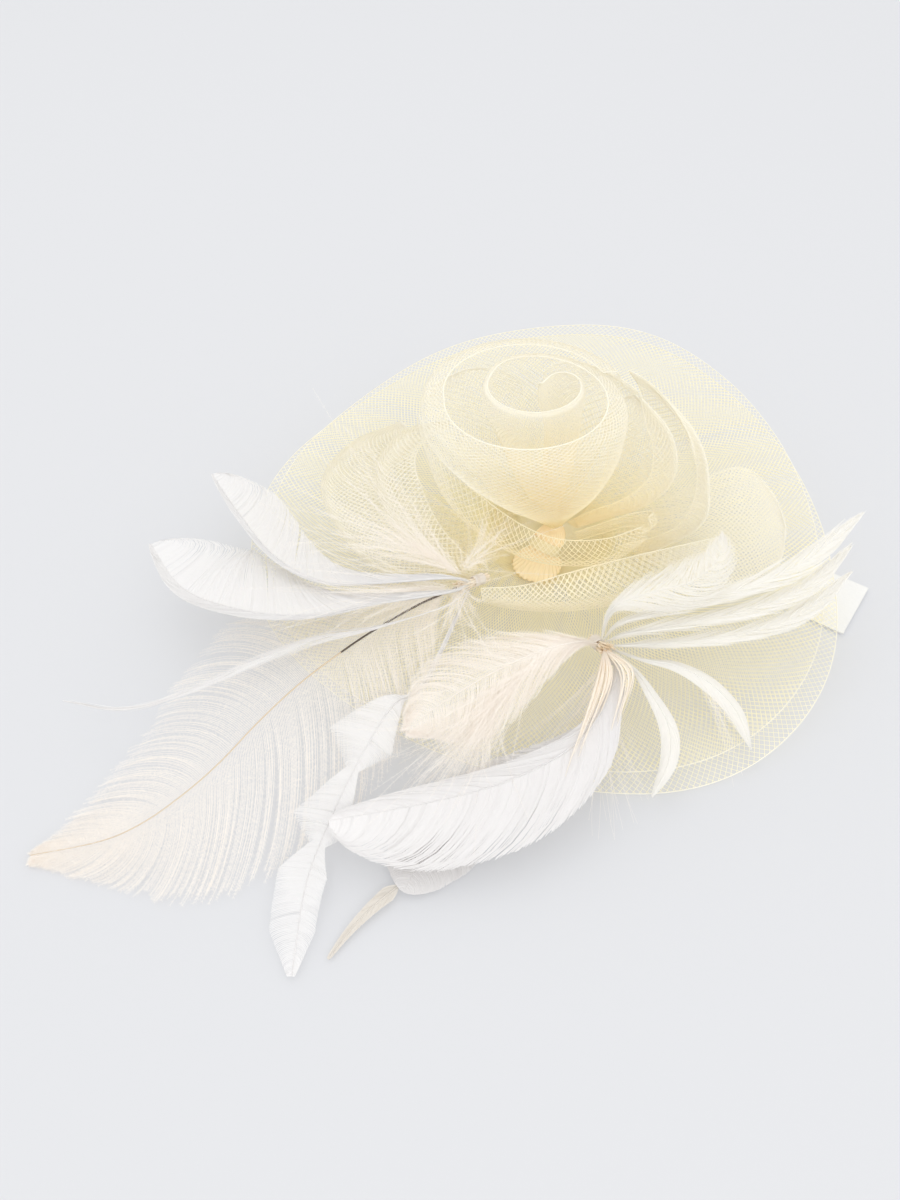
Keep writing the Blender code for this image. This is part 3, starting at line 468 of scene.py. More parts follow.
# Points on the near edge, the middle and the far edge of each loop, from its free end to its root.
LOOPS = {
    "sash_loop": (
        ((-66, 3, 94), (-57, -15, 84), (-38, -28, 72), (-19, -37, 62), (-1, -42, 57), (20, -43, 58),
         (38, -38, 61)),
        ((-65, 2, 82), (-57, -21, 71), (-42, -34, 60), (-21, -44, 51), (0, -48, 47), (24, -47, 48),
         (41, -38, 53)),
        ((-57, 1, 71), (-50, -19, 61), (-38, -31, 52), (-19, -39, 45), (0, -42, 42), (22, -41, 43),
         (37, -34, 49))),
    "sash_return": (
        ((41, -33, 62), (44, -28, 61), (38, -24, 57), (24, -25, 52), (9, -27, 47)),
        ((43, -34, 56), (47, -27, 54), (39, -21, 50), (24, -22, 46), (10, -25, 43)),
        ((39, -32, 51), (42, -27, 49), (35, -22, 46), (22, -23, 42), (10, -26, 40))),
    "petal_left_inner": (
        ((-47, 10, 80), (-60, 5, 80), (-68, -5, 74), (-64, -19, 66), (-55, -33, 55), (-38, -46, 42)),
        ((-52, 19, 78), (-74, 13, 76), (-86, -3, 68), (-82, -21, 57), (-66, -38, 46), (-40, -49, 37)),
        ((-46, 28, 70), (-62, 24, 66), (-72, 15, 59), (-66, 2, 52), (-47, -13, 44), (-24, -25, 38))),
    "petal_left_outer": (
        ((-60, 28, 63), (-74, 15, 62), (-82, 0, 57), (-79, -20, 50), (-64, -38, 43), (-42, -49, 37)),
        ((-76, 42, 60), (-102, 26, 58), (-115, 4, 52), (-107, -18, 44), (-84, -42, 36), (-48, -54, 30)),
        ((-64, 50, 53), (-83, 42, 46), (-89, 30, 42), (-77, 16, 38), (-54, -6, 35), (-34, -28, 31))),
    "petal_right_inner": (
        ((34, 16, 90), (43, 0, 84), (44, -12, 74), (39, -16, 66), (30, -17, 58), (18, -18, 53),
         (9, -19, 48)),
        ((38, 24, 90), (51, 6, 83), (55, -6, 72), (51, -13, 62), (40, -17, 54), (24, -18, 48),
         (11, -20, 44)),
        ((18, 34, 80), (25, 26, 71), (28, 16, 61), (25, 6, 53), (20, -4, 47), (14, -10, 43),
         (7, -14, 41))),
    "petal_right_outer": (
        ((63, 6, 80), (67, -8, 68), (64, -20, 56), (54, -26, 46), (30, -27, 37)),
        ((52, 29, 87), (67, 12, 77), (72, -5, 64), (69, -21, 50), (44, -30, 35)),
        ((38, 44, 90), (46, 41, 78), (49, 28, 62), (41, 8, 47), (22, -12, 35))),
    "petal_front": (
        ((-37, -62, 45), (-18, -63, 48), (2, -60, 53), (24, -55, 56), (50, -46, 55), (78, -34, 51)),
        ((-34, -65, 38), (-18, -69, 39), (4, -70, 41), (30, -66, 43), (58, -55, 43), (80, -40, 43)),
        ((-26, -55, 33), (-14, -58, 32), (4, -58, 31), (28, -54, 32), (52, -45, 33), (70, -36, 36))),
    "petal_low_right": (
        ((103, -50, 33), (88, -55, 33), (66, -45, 33), (40, -29, 32)),
        ((113, -20, 43), (97, -20, 42), (70, -18, 38), (41, -18, 32)),
        ((106, 5, 55), (90, 11, 55), (66, 6, 44), (38, -7, 32))),
    "petal_back_right": (
        ((38, 62, 74), (50, 52, 66), (48, 38, 54), (34, 22, 43), (16, 4, 34)),
        ((18, 76, 74), (32, 68, 62), (34, 50, 48), (24, 28, 38), (10, 6, 32)),
        ((-6, 72, 76), (2, 66, 62), (10, 50, 48), (10, 30, 39), (2, 8, 33))),
    "petal_back_left": (
        ((-14, 70, 74), (-12, 62, 60), (-12, 46, 47), (-10, 26, 38), (-6, 6, 34)),
        ((-42, 72, 72), (-42, 62, 60), (-36, 44, 47), (-24, 24, 38), (-14, 4, 33)),
        ((-66, 52, 74), (-62, 44, 62), (-50, 30, 50), (-32, 14, 41), (-18, -2, 35))),
}

# Loops of one thickness, and loops whose free end keeps its corners.
SINGLE = ("sash_loop", "sash_return")
SQUARE = ("sash_loop", "sash_return", "petal_front", "petal_right_outer")
ROUND_END = 0.16  # share of a loop over which its free end is rounded
LOOP_GAP = 1.2  # between the two sides of a doubled loop
LOOP_PITCH = 2.1


def loop_surface(name, near, middle, far):
    def surface(u, v):
        if name not in SQUARE:
            short = 1.0 - np.clip(u / ROUND_END, 0.0, 1.0)
            v = 0.5 + (v - 0.5) * (0.1 + 0.9 * np.sqrt(1.0 - short ** 2))
        return arch(curve(near, u), curve(middle, u), curve(far, u), v)
    return surface


def length_of(line):
    return np.linalg.norm(np.diff(line, axis=0), axis=1).sum()


def make_loops():
    along = np.linspace(0.0, 1.0, 60)
    across = np.linspace(0.0, 1.0, 20)
    for name, curves in LOOPS.items():
        surface = loop_surface(name, *curves)
        width = max(length_of(edge_line(surface, along, v)) for v in (0.0, 0.5, 1.0))
        height = max(length_of(edge_line(surface, u, across)) for u in (0.0, 0.5, 1.0))
        edges = [(edge_line(surface, along, 0.0), False), (edge_line(surface, along, 1.0), False),
                 (edge_line(surface, 0.0, across), False)]
        layers = [surface] if name in SINGLE else doubled(surface, LOOP_GAP)
        net_piece(name + "_net", [name], layers, (width, height), LOOP_PITCH, edges, segment=3.0)


# ---------- feathers

LOWEST = 0.8  # barbs that reach the table lie on it
TABLE = 0.1  # and no barbule goes through it


def vane_on_spine(spine, widths, lean, across, droop, blunt, cuts=None):
    """Points of a vane at (t along, w across), w from -1 to 1 with the quill at 0.

    The tip is rounded from blunt on. cuts gives straight-cut outlines as (t, width).
    """
    lean = unit(np.array(lean, float))

    def half_width(t):
        if cuts:
            places, sizes = zip(*cuts)
            return np.interp(t, places, sizes) / 2
        past = np.clip((t - blunt) / (1.0 - blunt), 0.0, 1.0)
        return curve(np.asarray(widths, float), t)[..., 0] / 2 * np.sqrt(1.0 - 0.985 * past ** 2)

    def place(t, w):
        here = curve(spine, t)
        ahead = curve(spine, np.minimum(t + 0.02, 1.0)) - curve(spine, np.maximum(t - 0.02, 0.0))
        side = unit(np.cross(lean, ahead))
        rise = unit(np.cross(ahead, side))
        half = half_width(t)
        share = np.where(w < 0, across[0], across[1])
        return (here - side * (half * share * w)[..., None]
                - rise * (droop * half * share * w * w)[..., None])
    return place


def barbs(mesh, vane, count, rng, rake, width, clump, ragged=0.0, fray=0.0, bare=0.0, tip_width=0.3,
          twist=0.3, samples=7, bend=1.25):
    """Ribbons from the quill to the vane's outline. Returns their middles for barbules.

    rake is how far along the vane a barb ends past its root, and bare the share of the quill
    with none. Barbs lie in clumps, which part from each other by ragged along the vane and
    by fray out of its surface.
    """
    lines = []
    for side in (-1, 1):
        root = bare + (1.0 - bare) * (np.arange(count) + 0.5) / count
        groups = np.cumsum(rng.random(count) < 1.0 / clump)
        shift = (rng.random(groups.max() + 1)[groups] - 0.5) * ragged
        swing = (rng.random(groups.max() + 1)[groups] - 0.5) * fray
        reach = rake * (1.0 + 0.15 * rng.standard_normal(count) * fray) + shift
        left = 1.0 - root
        end = 1.0 - left * np.exp(-np.maximum(reach, 0.0) / left)
        cover = 1.0 - (0.02 + 0.4 * fray) * rng.random(count)
        q = np.linspace(0.0, 1.0, samples)[None, :]
        t = root[:, None] + (end - root)[:, None] * q ** bend
        w = side * cover[:, None] * (1.0 - (1.0 - q) ** 1.25)
        centres = vane(t, w)
        normals = normals_of(vane, t, w, (0.01, 0.05), -1.0)
        lift = (swing[:, None] + 0.15 * fray * rng.standard_normal((count, 1))) * 10.0 * q ** 2
        centres = centres + normals * lift[..., None]
        centres[..., 2] = np.maximum(centres[..., 2], LOWEST)
        along = np.gradient(centres, axis=1)
        across = unit(np.cross(unit(along), normals))
        roll = twist * rng.standard_normal((count, 1, 1))
        across = across * np.cos(roll) + normals * np.sin(roll)
        half = width * 0.5 * (1.0 - (1.0 - tip_width) * q ** 2) * np.ones((count, 1))
        mesh.ribbons(centres, across, half)
        lines.append((centres, across, normals))
    return lines


def barbules(mesh, lines, per_barb, length, width, rng, first=0.12):
    """Short soft hairs on both sides of each barb, as on ostrich, hen and marabou."""
    for centres, across, normals in lines:
        count, samples = centres.shape[:2]
        spot = first + (1.0 - first) * (np.arange(per_barb) + rng.random((count, per_barb))) / per_barb
        at = spot * (samples - 1)
        i = np.minimum(at.astype(int), samples - 2)
        f = (at - i)[..., None]
        rows = np.arange(count)[:, None]
        base = centres[rows, i] * (1 - f) + centres[rows, i + 1] * f
        along = unit(centres[rows, i + 1] - centres[rows, i])
        out = across[rows, i]
        up = normals[rows, i]
        for side in (-1, 1):
            size = length * (0.7 + 0.5 * rng.random((count, per_barb, 1)))
            size = size * (1.0 - 0.5 * spot[..., None] ** 3)
            tilt = 0.5 * rng.standard_normal((count, per_barb, 1))
            direction = unit(along * 0.75 + out * side + up * tilt)
            middle = base + direction * size * 0.5 + along * size * 0.04
            tip = base + direction * size + along * size * 0.22
            tip[..., 2] = np.maximum(tip[..., 2], TABLE)
            line = np.stack([base, middle, tip], axis=2).reshape(-1, 3, 3)
            flat = unit(np.cross(direction, up)).reshape(-1, 1, 3) * np.ones((1, 3, 1))
            half = np.array([1.0, 0.8, 0.3])[None, :] * width * 0.5 * np.ones((len(line), 1))
            mesh.ribbons(line, flat, half)


def quill(mesh, spine, thick, thin, look, start=0.0, end=1.0):
    t = np.linspace(start, end, 40)
    radius = thin + (thick - thin) * (1.0 - t) ** 1.2
    mesh.tube(curve(spine, t), radius, look=look)


# Spine from root to tip, widths along it or a straight-cut outline, the share of the width on
# each side, the way the vane faces, and the kind of feather.
FEATHERS = {
    "goose_left_upper": dict(
        spine=((-52, -66, 56), (-84, -66, 53), (-110, -62, 50), (-134, -43, 47), (-156, -10, 43),
               (-176, 24, 40)),
        widths=(3, 7, 15, 22, 26, 22), across=(0.2, 1.8), kind="goose"),
    "goose_left_lower": dict(
        spine=((-52, -70, 51), (-84, -75, 49), (-114, -79, 46), (-144, -73, 42), (-176, -56, 38),
               (-199, -24, 36)),
        widths=(3, 8, 22, 38, 46, 42), across=(0.2, 1.8), kind="goose"),
    "whisker_hackle": dict(
        spine=((-52, -73, 46), (-84, -83, 42), (-112, -87, 38), (-140, -96, 32), (-170, -108, 26),
               (-196, -113, 22), (-224, -107, 20)),
        widths=(2, 4, 6, 5, 3, 2, 1.2), kind="whisker"),
    "hen_plume": dict(
        spine=((6, -92, 43), (-12, -98, 44), (-34, -109, 42), (-55, -121, 37), (-70, -131, 31)),
        widths=(4, 24, 44, 48, 20), lean=(0, -0.25, 1), kind="hen"),
    "satin_upper": dict(
        spine=((22, -97, 32), (17, -114, 32), (2, -135, 29), (-24, -150, 26), (-56, -159, 23),
               (-100, -167, 21)),
        widths=(4, 9, 24, 36, 38, 32), lean=(0, -0.2, 1), across=(1.45, 0.45), kind="satin"),
    "satin_lower": dict(
        spine=((25, -99, 26), (21, -117, 24), (6, -136, 20), (-14, -151, 16), (-36, -161, 13.5),
               (-60, -170, 11.5)),
        widths=(4, 9, 20, 30, 32, 24), lean=(0.2, -0.3, 1), across=(0.5, 1.35), kind="satin"),
    "satin_under": dict(
        spine=((-34, -148, 9), (-49, -160, 7.5), (-61, -173, 6), (-70, -189, 4)),
        widths=(10, 34, 34, 16), lean=(0, -0.2, 1), kind="satin"),
    "diamond_feather": dict(
        spine=((-62, -104, 30), (-76, -118, 31), (-90, -143, 25), (-103, -170, 13), (-109, -190, 7),
               (-111, -222, 2.5)),
        across=(0.75, 1.25), kind="trimmed",
        cuts=((0, 1.2), (0.27, 3), (0.45, 31), (0.515, 6), (0.64, 27), (0.69, 7), (0.79, 21),
              (0.92, 18), (1, 3))),
    "blade_feather": dict(
        spine=((-72, -186, 3), (-82, -195, 2.8), (-91, -205, 2.2), (-98, -215, 1.6)),
        widths=(7, 5, 3, 1), kind="blade"),
    "biot_front": dict(
        spine=((29, -97, 32), (36, -111, 31), (43, -124, 24), (42, -137, 17), (34, -150, 10)),
        widths=(2, 5, 8, 7, 1.6), kind="biot"),
    "biot_right": dict(
        spine=((34, -93, 32), (50, -97, 32), (64, -105, 29), (75, -114, 21), (81, -127, 11)),
        widths=(2, 6, 9, 8, 1.6), kind="biot"),
    "hackle_right_upper": dict(
        spine=((24, -84, 46), (52, -76, 49), (80, -68, 51), (112, -52, 52), (148, -20, 53)),
        widths=(2, 8, 10, 12, 4), kind="hackle"),
    "hackle_right_middle": dict(
        spine=((26, -87, 42), (54, -82, 44), (84, -75, 45), (112, -62, 46), (140, -36, 47)),
        widths=(2, 8, 10, 10, 3), kind="hackle"),
    "hackle_right_lower": dict(
        spine=((28, -90, 38), (56, -88, 38.5), (84, -83, 39), (110, -72, 40), (138, -48, 41)),
        widths=(2, 8, 10, 10, 3), kind="hackle"),
    "curled_plume": dict(
        spine=((20, -80, 51), (36, -76, 57), (54, -72, 60), (68, -60, 61), (75, -42, 60)),
        widths=(4, 18, 24, 22, 10), lean=(0, -0.4, 1), kind="curled"),
}

# How each kind of feather grows: its barbs, how much the vane droops and where it is rounded
# from, its quill's radii at root and tip, and the materials of its barbs and quill.
KINDS = {
    "goose": dict(count=300, rake=0.16, width=0.8, ragged=0.035, clump=26, fray=0.06, bare=0.10,
                  twist=0.22, droop=0.1, blunt=0.82, quill=(0.8, 0.15), looks=(WHITE, WHITE)),
    "satin": dict(count=330, rake=0.24, width=0.72, ragged=0.022, clump=34, fray=0.05, bare=0.06,
                  tip_width=0.34, twist=0.2, droop=0.16, blunt=0.84, quill=(1.0, 0.12),
                  looks=(SATIN, WHITE)),
    "trimmed": dict(count=300, rake=0.02, width=0.6, clump=30, fray=0.03, bare=0.04, tip_width=0.45,
                    twist=0.25, droop=0.05, blunt=0.9, quill=(0.45, 0.2), looks=(WHITE, WHITE)),
    "blade": dict(count=50, rake=0.15, width=0.8, ragged=0.01, clump=20, tip_width=0.9, twist=0.2,
                  droop=0.0, blunt=0.95, quill=(0.4, 0.2), looks=(TAN, TAN)),
    "biot": dict(count=90, rake=0.3, width=0.8, clump=30, tip_width=0.4, twist=0.15, droop=0.3,
                 blunt=0.9, quill=(0.8, 0.2), looks=(DOWN, DOWN)),
    "hackle": dict(count=220, rake=0.26, width=0.3, ragged=0.12, clump=3, fray=0.4, droop=0.1,
                   blunt=0.85, quill=(0.42, 0.1), looks=(DOWN, DOWN)),
    "whisker": dict(count=130, rake=0.2, width=0.2, ragged=0.12, clump=3, fray=0.2, bare=0.2,
                    droop=0.1, blunt=0.85, quill=(0.4, 0.1), looks=(WHITE, WHITE)),
    "curled": dict(count=230, rake=0.34, width=0.24, ragged=0.16, clump=3, fray=0.45, droop=0.4,
                   blunt=0.6, quill=(0.42, 0.1), looks=(DOWN, DOWN),
                   hairs=dict(per_barb=10, length=1.3, width=0.06)),
    "hen": dict(count=230, rake=0.3, width=0.3, ragged=0.1, clump=4, fray=0.3, droop=0.3, blunt=0.6,
                quill=(0.6, 0.15), looks=(CREAM, CREAM),
                hairs=dict(per_barb=24, length=2.0, width=0.075)),
}

# Where the quills of each bunch are bound together, from their ends to the open side.
TIES = {"left": ((-34, -50, 40), (-48, -62, 45)), "right": ((14, -78, 28), (19, -92, 36))}


def bound_quill(spine):
    """The spine, carried back into the nearer tie."""
    tie = min(TIES.values(), key=lambda ends: np.linalg.norm(np.array(ends[1]) - spine[0]))
    return np.vstack([np.mean(tie, axis=0), spine])


def make_feathers():
    for number, (name, facts) in enumerate(FEATHERS.items()):
        kind = dict(KINDS[facts["kind"]])
        rng = np.random.default_rng(100 + number)
        spine = np.array(facts["spine"], float)
        widths = facts.get("widths", ())
        if facts["kind"] != "blade" and name != "satin_under":
            spine = bound_quill(spine)
            widths = (1, *widths)
        vane = vane_on_spine(spine, widths, facts.get("lean", (0, 0, 1)), facts.get("across", (1, 1)),
                             kind.pop("droop"), kind.pop("blunt"), facts.get("cuts"))
        thick, thin = kind.pop("quill")
        looks = kind.pop("looks")
        hairs = kind.pop("hairs", None)
        mesh = Mesh()
        lines = barbs(mesh, vane, rng=rng, **kind)
        if hairs:
            barbules(mesh, lines, rng=rng, **hairs)
        quill(mesh, spine, thick, thin, 1)
        made = mesh.piece(name + "_barbs", looks)
        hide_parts(name)


HAIR_WIDTH = 0.17
# Sprays of loose hairs: number, where they start, the two headings between which they fan out,
# their length, how far they stray and how much each one bends.
SPRAYS = {
    "marabou_tuft": (
        (100, (-47, -58, 51), (-1.0, 0.05, 0.16), (-0.45, 0.62, 0.5), 66, 0.09, 0.22),
        (26, (-46, -56, 51), (0.9, 0.30, 0.16), (0.2, 0.75, 0.3), 34, 0.3, 0.4),
        (30, (-47, -62, 48), (-0.7, -0.8, -0.1), (0.5, -0.8, -0.1), 36, 0.3, 0.4),
        (60, (-52, -66, 50), (-1.0, -0.35, -0.08), (-0.9, 0.25, 0.05), 62, 0.16, 0.25)),
    "hen_plume": (
        (120, (-14, -104, 44), (-0.95, -0.35, -0.22), (-0.5, -0.85, -0.35), 62, 0.12, 0.2),
        (60, (2, -94, 42), (-0.9, 0.1, 0.02), (-0.8, -0.5, -0.15), 48, 0.12, 0.2),
        (90, (-30, -112, 34), (-0.8, -0.6, -0.3), (-0.1, -0.95, -0.3), 50, 0.12, 0.2)),
    "hair_spray": (
        (110, (17, -94, 26), (-0.75, -0.7, -0.2), (0.35, -0.9, -0.28), 58, 0.06, 0.10),
        (16, (60, -104, 29), (0.6, -0.5, -0.25), (0.2, -0.9, -0.4), 34, 0.06, 0.15)),
}


def make_sprays():
    """Marabou and stray hairs: single fine barbs with short barbules."""
    s = np.linspace(0.0, 1.0, 9)[None, :, None]
    for number, (name, fans) in enumerate(SPRAYS.items()):
        rng = np.random.default_rng(300 + number)
        mesh = Mesh()
        for count, start, one, other, length, stray, bend in fans:
            share = rng.random((count, 1))
            heading = unit(np.array(one) * (1 - share) + np.array(other) * share
                           + stray * np.clip(rng.standard_normal((count, 3)), -1.5, 1.5))
            size = length * (0.5 + 0.6 * rng.random((count, 1)))
            bow = bend * size * np.clip(rng.standard_normal((count, 3)), -1.2, 1.2)
            mean = (np.array(one) + np.array(other)) / 2
            root = (np.array(start, float) + 0.8 * rng.standard_normal((count, 3))
                    + mean * 0.4 * length * rng.random((count, 1)) ** 1.5)
            centres = root[:, None] + (heading * size)[:, None] * s + bow[:, None] * s ** 2
            centres[..., 2] = np.maximum(centres[..., 2], LOWEST)
            along = unit(np.gradient(centres, axis=1))
            flat = unit(np.cross(along, (0.0, -0.6, 0.8)))
            normals = np.cross(flat, along)
            half = HAIR_WIDTH / 2 * (1.0 - 0.6 * s[..., 0]) * np.ones((count, 1))
            mesh.ribbons(centres, flat, half)
            if name != "hair_spray":
                barbules(mesh, [(centres, flat, normals)], 40, 1.7, 0.055, rng, first=0.05)
        made = mesh.piece(name + "_hairs", [CREAM])
        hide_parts(name)


PLUME_DARK = 0.36  # share of the stem, from its root, that is dark
# The ostrich plume: its stem, and the two edges that its barbs hang down to.
PLUME_STEM = ((-50, -62, 44), (-66, -67, 39), (-86, -78, 34), (-101, -89, 31), (-118, -103, 27),
              (-134, -120, 23), (-150, -139, 18), (-165, -153, 14), (-180, -163, 10),
              (-196, -169, 7), (-224, -173, 3))
PLUME_UPPER = ((-54, -56, 43), (-68, -55, 38), (-98, -50, 31), (-134, -50, 24), (-160, -60, 16),
               (-178, -84, 9), (-188, -108, 5), (-200, -132, 3.4), (-210, -150, 2.4), (-218, -162, 1.6),
               (-225, -171, 1.2))
PLUME_LOWER = ((-48, -68, 42), (-56, -84, 34), (-64, -112, 24), (-76, -140, 14), (-98, -166, 5),
               (-118, -180, 2), (-140, -192, 1.4), (-160, -194, 1.2), (-180, -190, 1.0), (-204, -183, 0.9),
               (-224, -176, 0.9))


def make_plume():
    """The ostrich plume: long soft barbs, each with its own barbules, on a dark quill."""
    def vane(t, w):
        return arch(curve(PLUME_UPPER, t), curve(PLUME_STEM, t), curve(PLUME_LOWER, t), 0.5 + 0.5 * w)

    rng = np.random.default_rng(7)
    mesh = Mesh()
    lines = barbs(mesh, vane, count=290, rng=rng, rake=0.075, width=0.2, bare=0.03, clump=4,
                  ragged=0.024, fray=0.2, tip_width=0.5, twist=0.0, samples=9, bend=1.06)
    barbules(mesh, lines, 44, 2.0, 0.085, rng, first=0.0)
    stem = bound_quill(np.array(PLUME_STEM, float))
    quill(mesh, stem, 0.55, 0.3, 1, end=PLUME_DARK)
    quill(mesh, stem, 0.42, 0.2, 2, start=PLUME_DARK)
    made = mesh.piece("ostrich_plume_barbs", [CREAM, QUILL_DARK, QUILL_TAN])
    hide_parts("ostrich_plume")


def bound_ring(line, radius, wraps):
    """Thread wound round a straight run from one end to the other."""
    start, end = np.array(line[0], float), np.array(line[1], float)
    axis = unit(end - start)
    side = unit(np.cross(axis, (0.2, 0.1, 1.0)))
    up = np.cross(side, axis)
    turn = np.linspace(0.0, 2 * math.pi * wraps, wraps * 14)
    share = turn / turn[-1]
    return (start + (end - start) * share[:, None]
            + radius(share)[:, None] * (side * np.cos(turn)[:, None] + up * np.sin(turn)[:, None]))


TIE_RADIUS = {"left": 3.0, "right": 3.5}
TIE_QUILLS, QUILL_RADIUS = 16, 0.55
STRANDS = 22  # stripped stems that hang from the right tie


def quill_ends(mesh, back, front, axis, width, rng):
    """The trimmed quills of a bunch, packed like seeds in a sunflower."""
    for i in range(TIE_QUILLS):
        angle, reach = i * 2.4, width * math.sqrt((i + 0.5) / TIE_QUILLS) * 0.8
        across = unit(np.cross(axis, (0.2, 0.1, 1.0)))
        out = (across * math.cos(angle) + np.cross(across, axis) * math.sin(angle)) * reach
        splay = out * (1.2 + 0.5 * rng.random())
        end = rng.random() * 2.0
        mesh.tube([back + out * 0.8 - axis * 0.2, (back + front) / 2 + out * 0.75, front + splay
                   - axis * end], QUILL_RADIUS, 6)


def hanging_strands(mesh, front, axis, rng):
    """Stripped stems that fan out from the tie and hang down to the front."""
    along = np.linspace(0.0, 1.0, 14)
    middle = (STRANDS - 1) / 2
    for i in range(STRANDS):
        spread = (i - middle) / middle
        reach = 40.0 - 14.0 * spread + 5.0 * rng.random()
        foot = front + (-5.0 + 9.0 * spread - 9.0 * (spread < 0.2), -reach, -10.0 + 2.0 * (i % 3))
        bow = np.array([4.0 * spread + 4.0, 0.0, 3.0 + 2.0 * rng.random()])
        line = curve([front - axis * 4.0, front + (foot - front) * 0.4 + bow, foot], along)
        mesh.tube(line, 0.1 + 0.42 * along[::-1] ** 0.8, 6, look=2)


def make_ties():
    """Each bunch of quills: trimmed ends under a winding of thread."""
    for side, (back, front) in TIES.items():
        back, front = np.array(back, float), np.array(front, float)
        rng = np.random.default_rng(40 + len(side))
        axis = unit(front - back)
        width = TIE_RADIUS[side]
        mesh = Mesh()
        quill_ends(mesh, back, front, axis, width, rng)
        if side == "right":
            hanging_strands(mesh, front, axis, rng)
        wound = bound_ring((back + axis * 3.0, back + axis * 9.0),
                           lambda share: width * (0.82 + 0.06 * np.sin(share * 37.0)), 13)
        mesh.tube(wound, 0.28, 6, look=1)
        made = mesh.piece("quill_bundle_" + side, [QUILL, CREAM, STRAND])
        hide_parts("feather_tie_" + side)


# ---------- flower's bound root

KNOT_FOOT = np.array([-9.0, -30.0, 25.4])
KNOT_TOP = np.array([0.0, -19.0, 42.4])
# Heights and radii.
KNOT_PROFILE = ((25.4, 9.0), (27.0, 12.3), (30.0, 9.3), (34.0, 7.4), (38.0, 7.8), (42.0, 5.0),
                (42.6, 0.4))
PLEATS, PLEAT_DEPTH = 26, 0.035
KNOT_BINDING = np.array([33.0, 37.0])
BINDING_RADIUS, BINDING_THREAD = 7.9, 0.3


def knot_middle(height):
    share = (height - KNOT_FOOT[2]) / (KNOT_TOP[2] - KNOT_FOOT[2])
    return KNOT_FOOT + (KNOT_TOP - KNOT_FOOT) * share[:, None]


def make_knot():
    """The gathered ends of the strips, pleated and bound with thread."""
    up = np.linspace(0.0, 1.0, 26)
    around = np.linspace(0.0, 2 * math.pi, PLEATS * 6, endpoint=False)
    profile = curve(KNOT_PROFILE, up)
    middles = knot_middle(profile[:, 0])
    grid = np.empty((len(around), len(up), 3))
    for i, angle in enumerate(around):
        radius = profile[:, 1] * (1.0 - PLEAT_DEPTH + PLEAT_DEPTH * math.cos(PLEATS * angle))
        grid[i] = middles + radius[:, None] * (math.cos(angle), math.sin(angle), 0.0)
    mesh = Mesh()
    mesh.sheet(grid, closed=True)
    wound = bound_ring(knot_middle(KNOT_BINDING), lambda share: np.full(share.shape, BINDING_RADIUS), 9)
    mesh.tube(wound, BINDING_THREAD, 6, look=1)
    # The knot's deep orange colour is painted shade.
    made = mesh.piece("flower_root", [CRIN_GATHERED_SHADE, CRIN_EDGE])
    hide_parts("flower_knot")


# ---------- felt pad and fittings

PAD_RADIUS, PAD_BOTTOM, PAD_THICKNESS = 34.0, 17.0, 3.0
BASE_RADIUS, BASE_BOTTOM, BASE_THICKNESS = 31.0, 20.35, 1.2
STITCHES = 64


def disc_mesh(radius, bottom, thickness, edge):
    """A flat round of cloth with a rounded edge, from its underside's middle to its top's."""
    t = np.linspace(-math.pi / 2, math.pi / 2, 9)
    rim = np.stack([radius - edge + edge * np.cos(t), bottom + thickness / 2 + thickness / 2 * np.sin(t)],
                   axis=-1)
    inner = np.linspace(0.02, radius - edge, 14)[:-1]
    low = np.stack([inner, np.full(len(inner), bottom)], axis=-1)
    high = np.stack([inner[::-1], np.full(len(inner), bottom + thickness)], axis=-1)
    profile = np.vstack([low, rim, high])
    around = np.linspace(0.0, 2 * math.pi, 96, endpoint=False)[:, None]
    reach, height = np.broadcast_arrays(profile[None, :, 0], profile[None, :, 1] + 0 * around)
    mesh = Mesh()
    mesh.sheet(np.stack([reach * np.cos(around), reach * np.sin(around), height], axis=-1), closed=True)
    return mesh


def lay_round(name, node, look, radius, bottom, thickness, edge):
    made = disc_mesh(radius, bottom, thickness, edge).piece(name, [look])
    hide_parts(node)


def textured(name, colour, deep, roughness, scale, height):
    """Cloth with a fine grain: a mottled colour and a raised surface."""
    made = principled(name, colour, roughness)
    nodes, links = made.node_tree.nodes, made.node_tree.links
    shader = nodes["Principled BSDF"]
    place = nodes.new("ShaderNodeTexCoord")
    grain = nodes.new("ShaderNodeTexNoise")
    grain.inputs["Scale"].default_value = scale
    grain.inputs["Detail"].default_value = 6.0
    bump = nodes.new("ShaderNodeBump")
    bump.inputs["Strength"].default_value = 0.5
    bump.inputs["Distance"].default_value = height
    links.new(place.outputs["Object"], grain.inputs["Vector"])
    tint_between(made, grain.outputs["Fac"], deep, colour)
    links.new(grain.outputs["Fac"], bump.inputs["Height"])
    links.new(bump.outputs["Normal"], shader.inputs["Normal"])
    return made


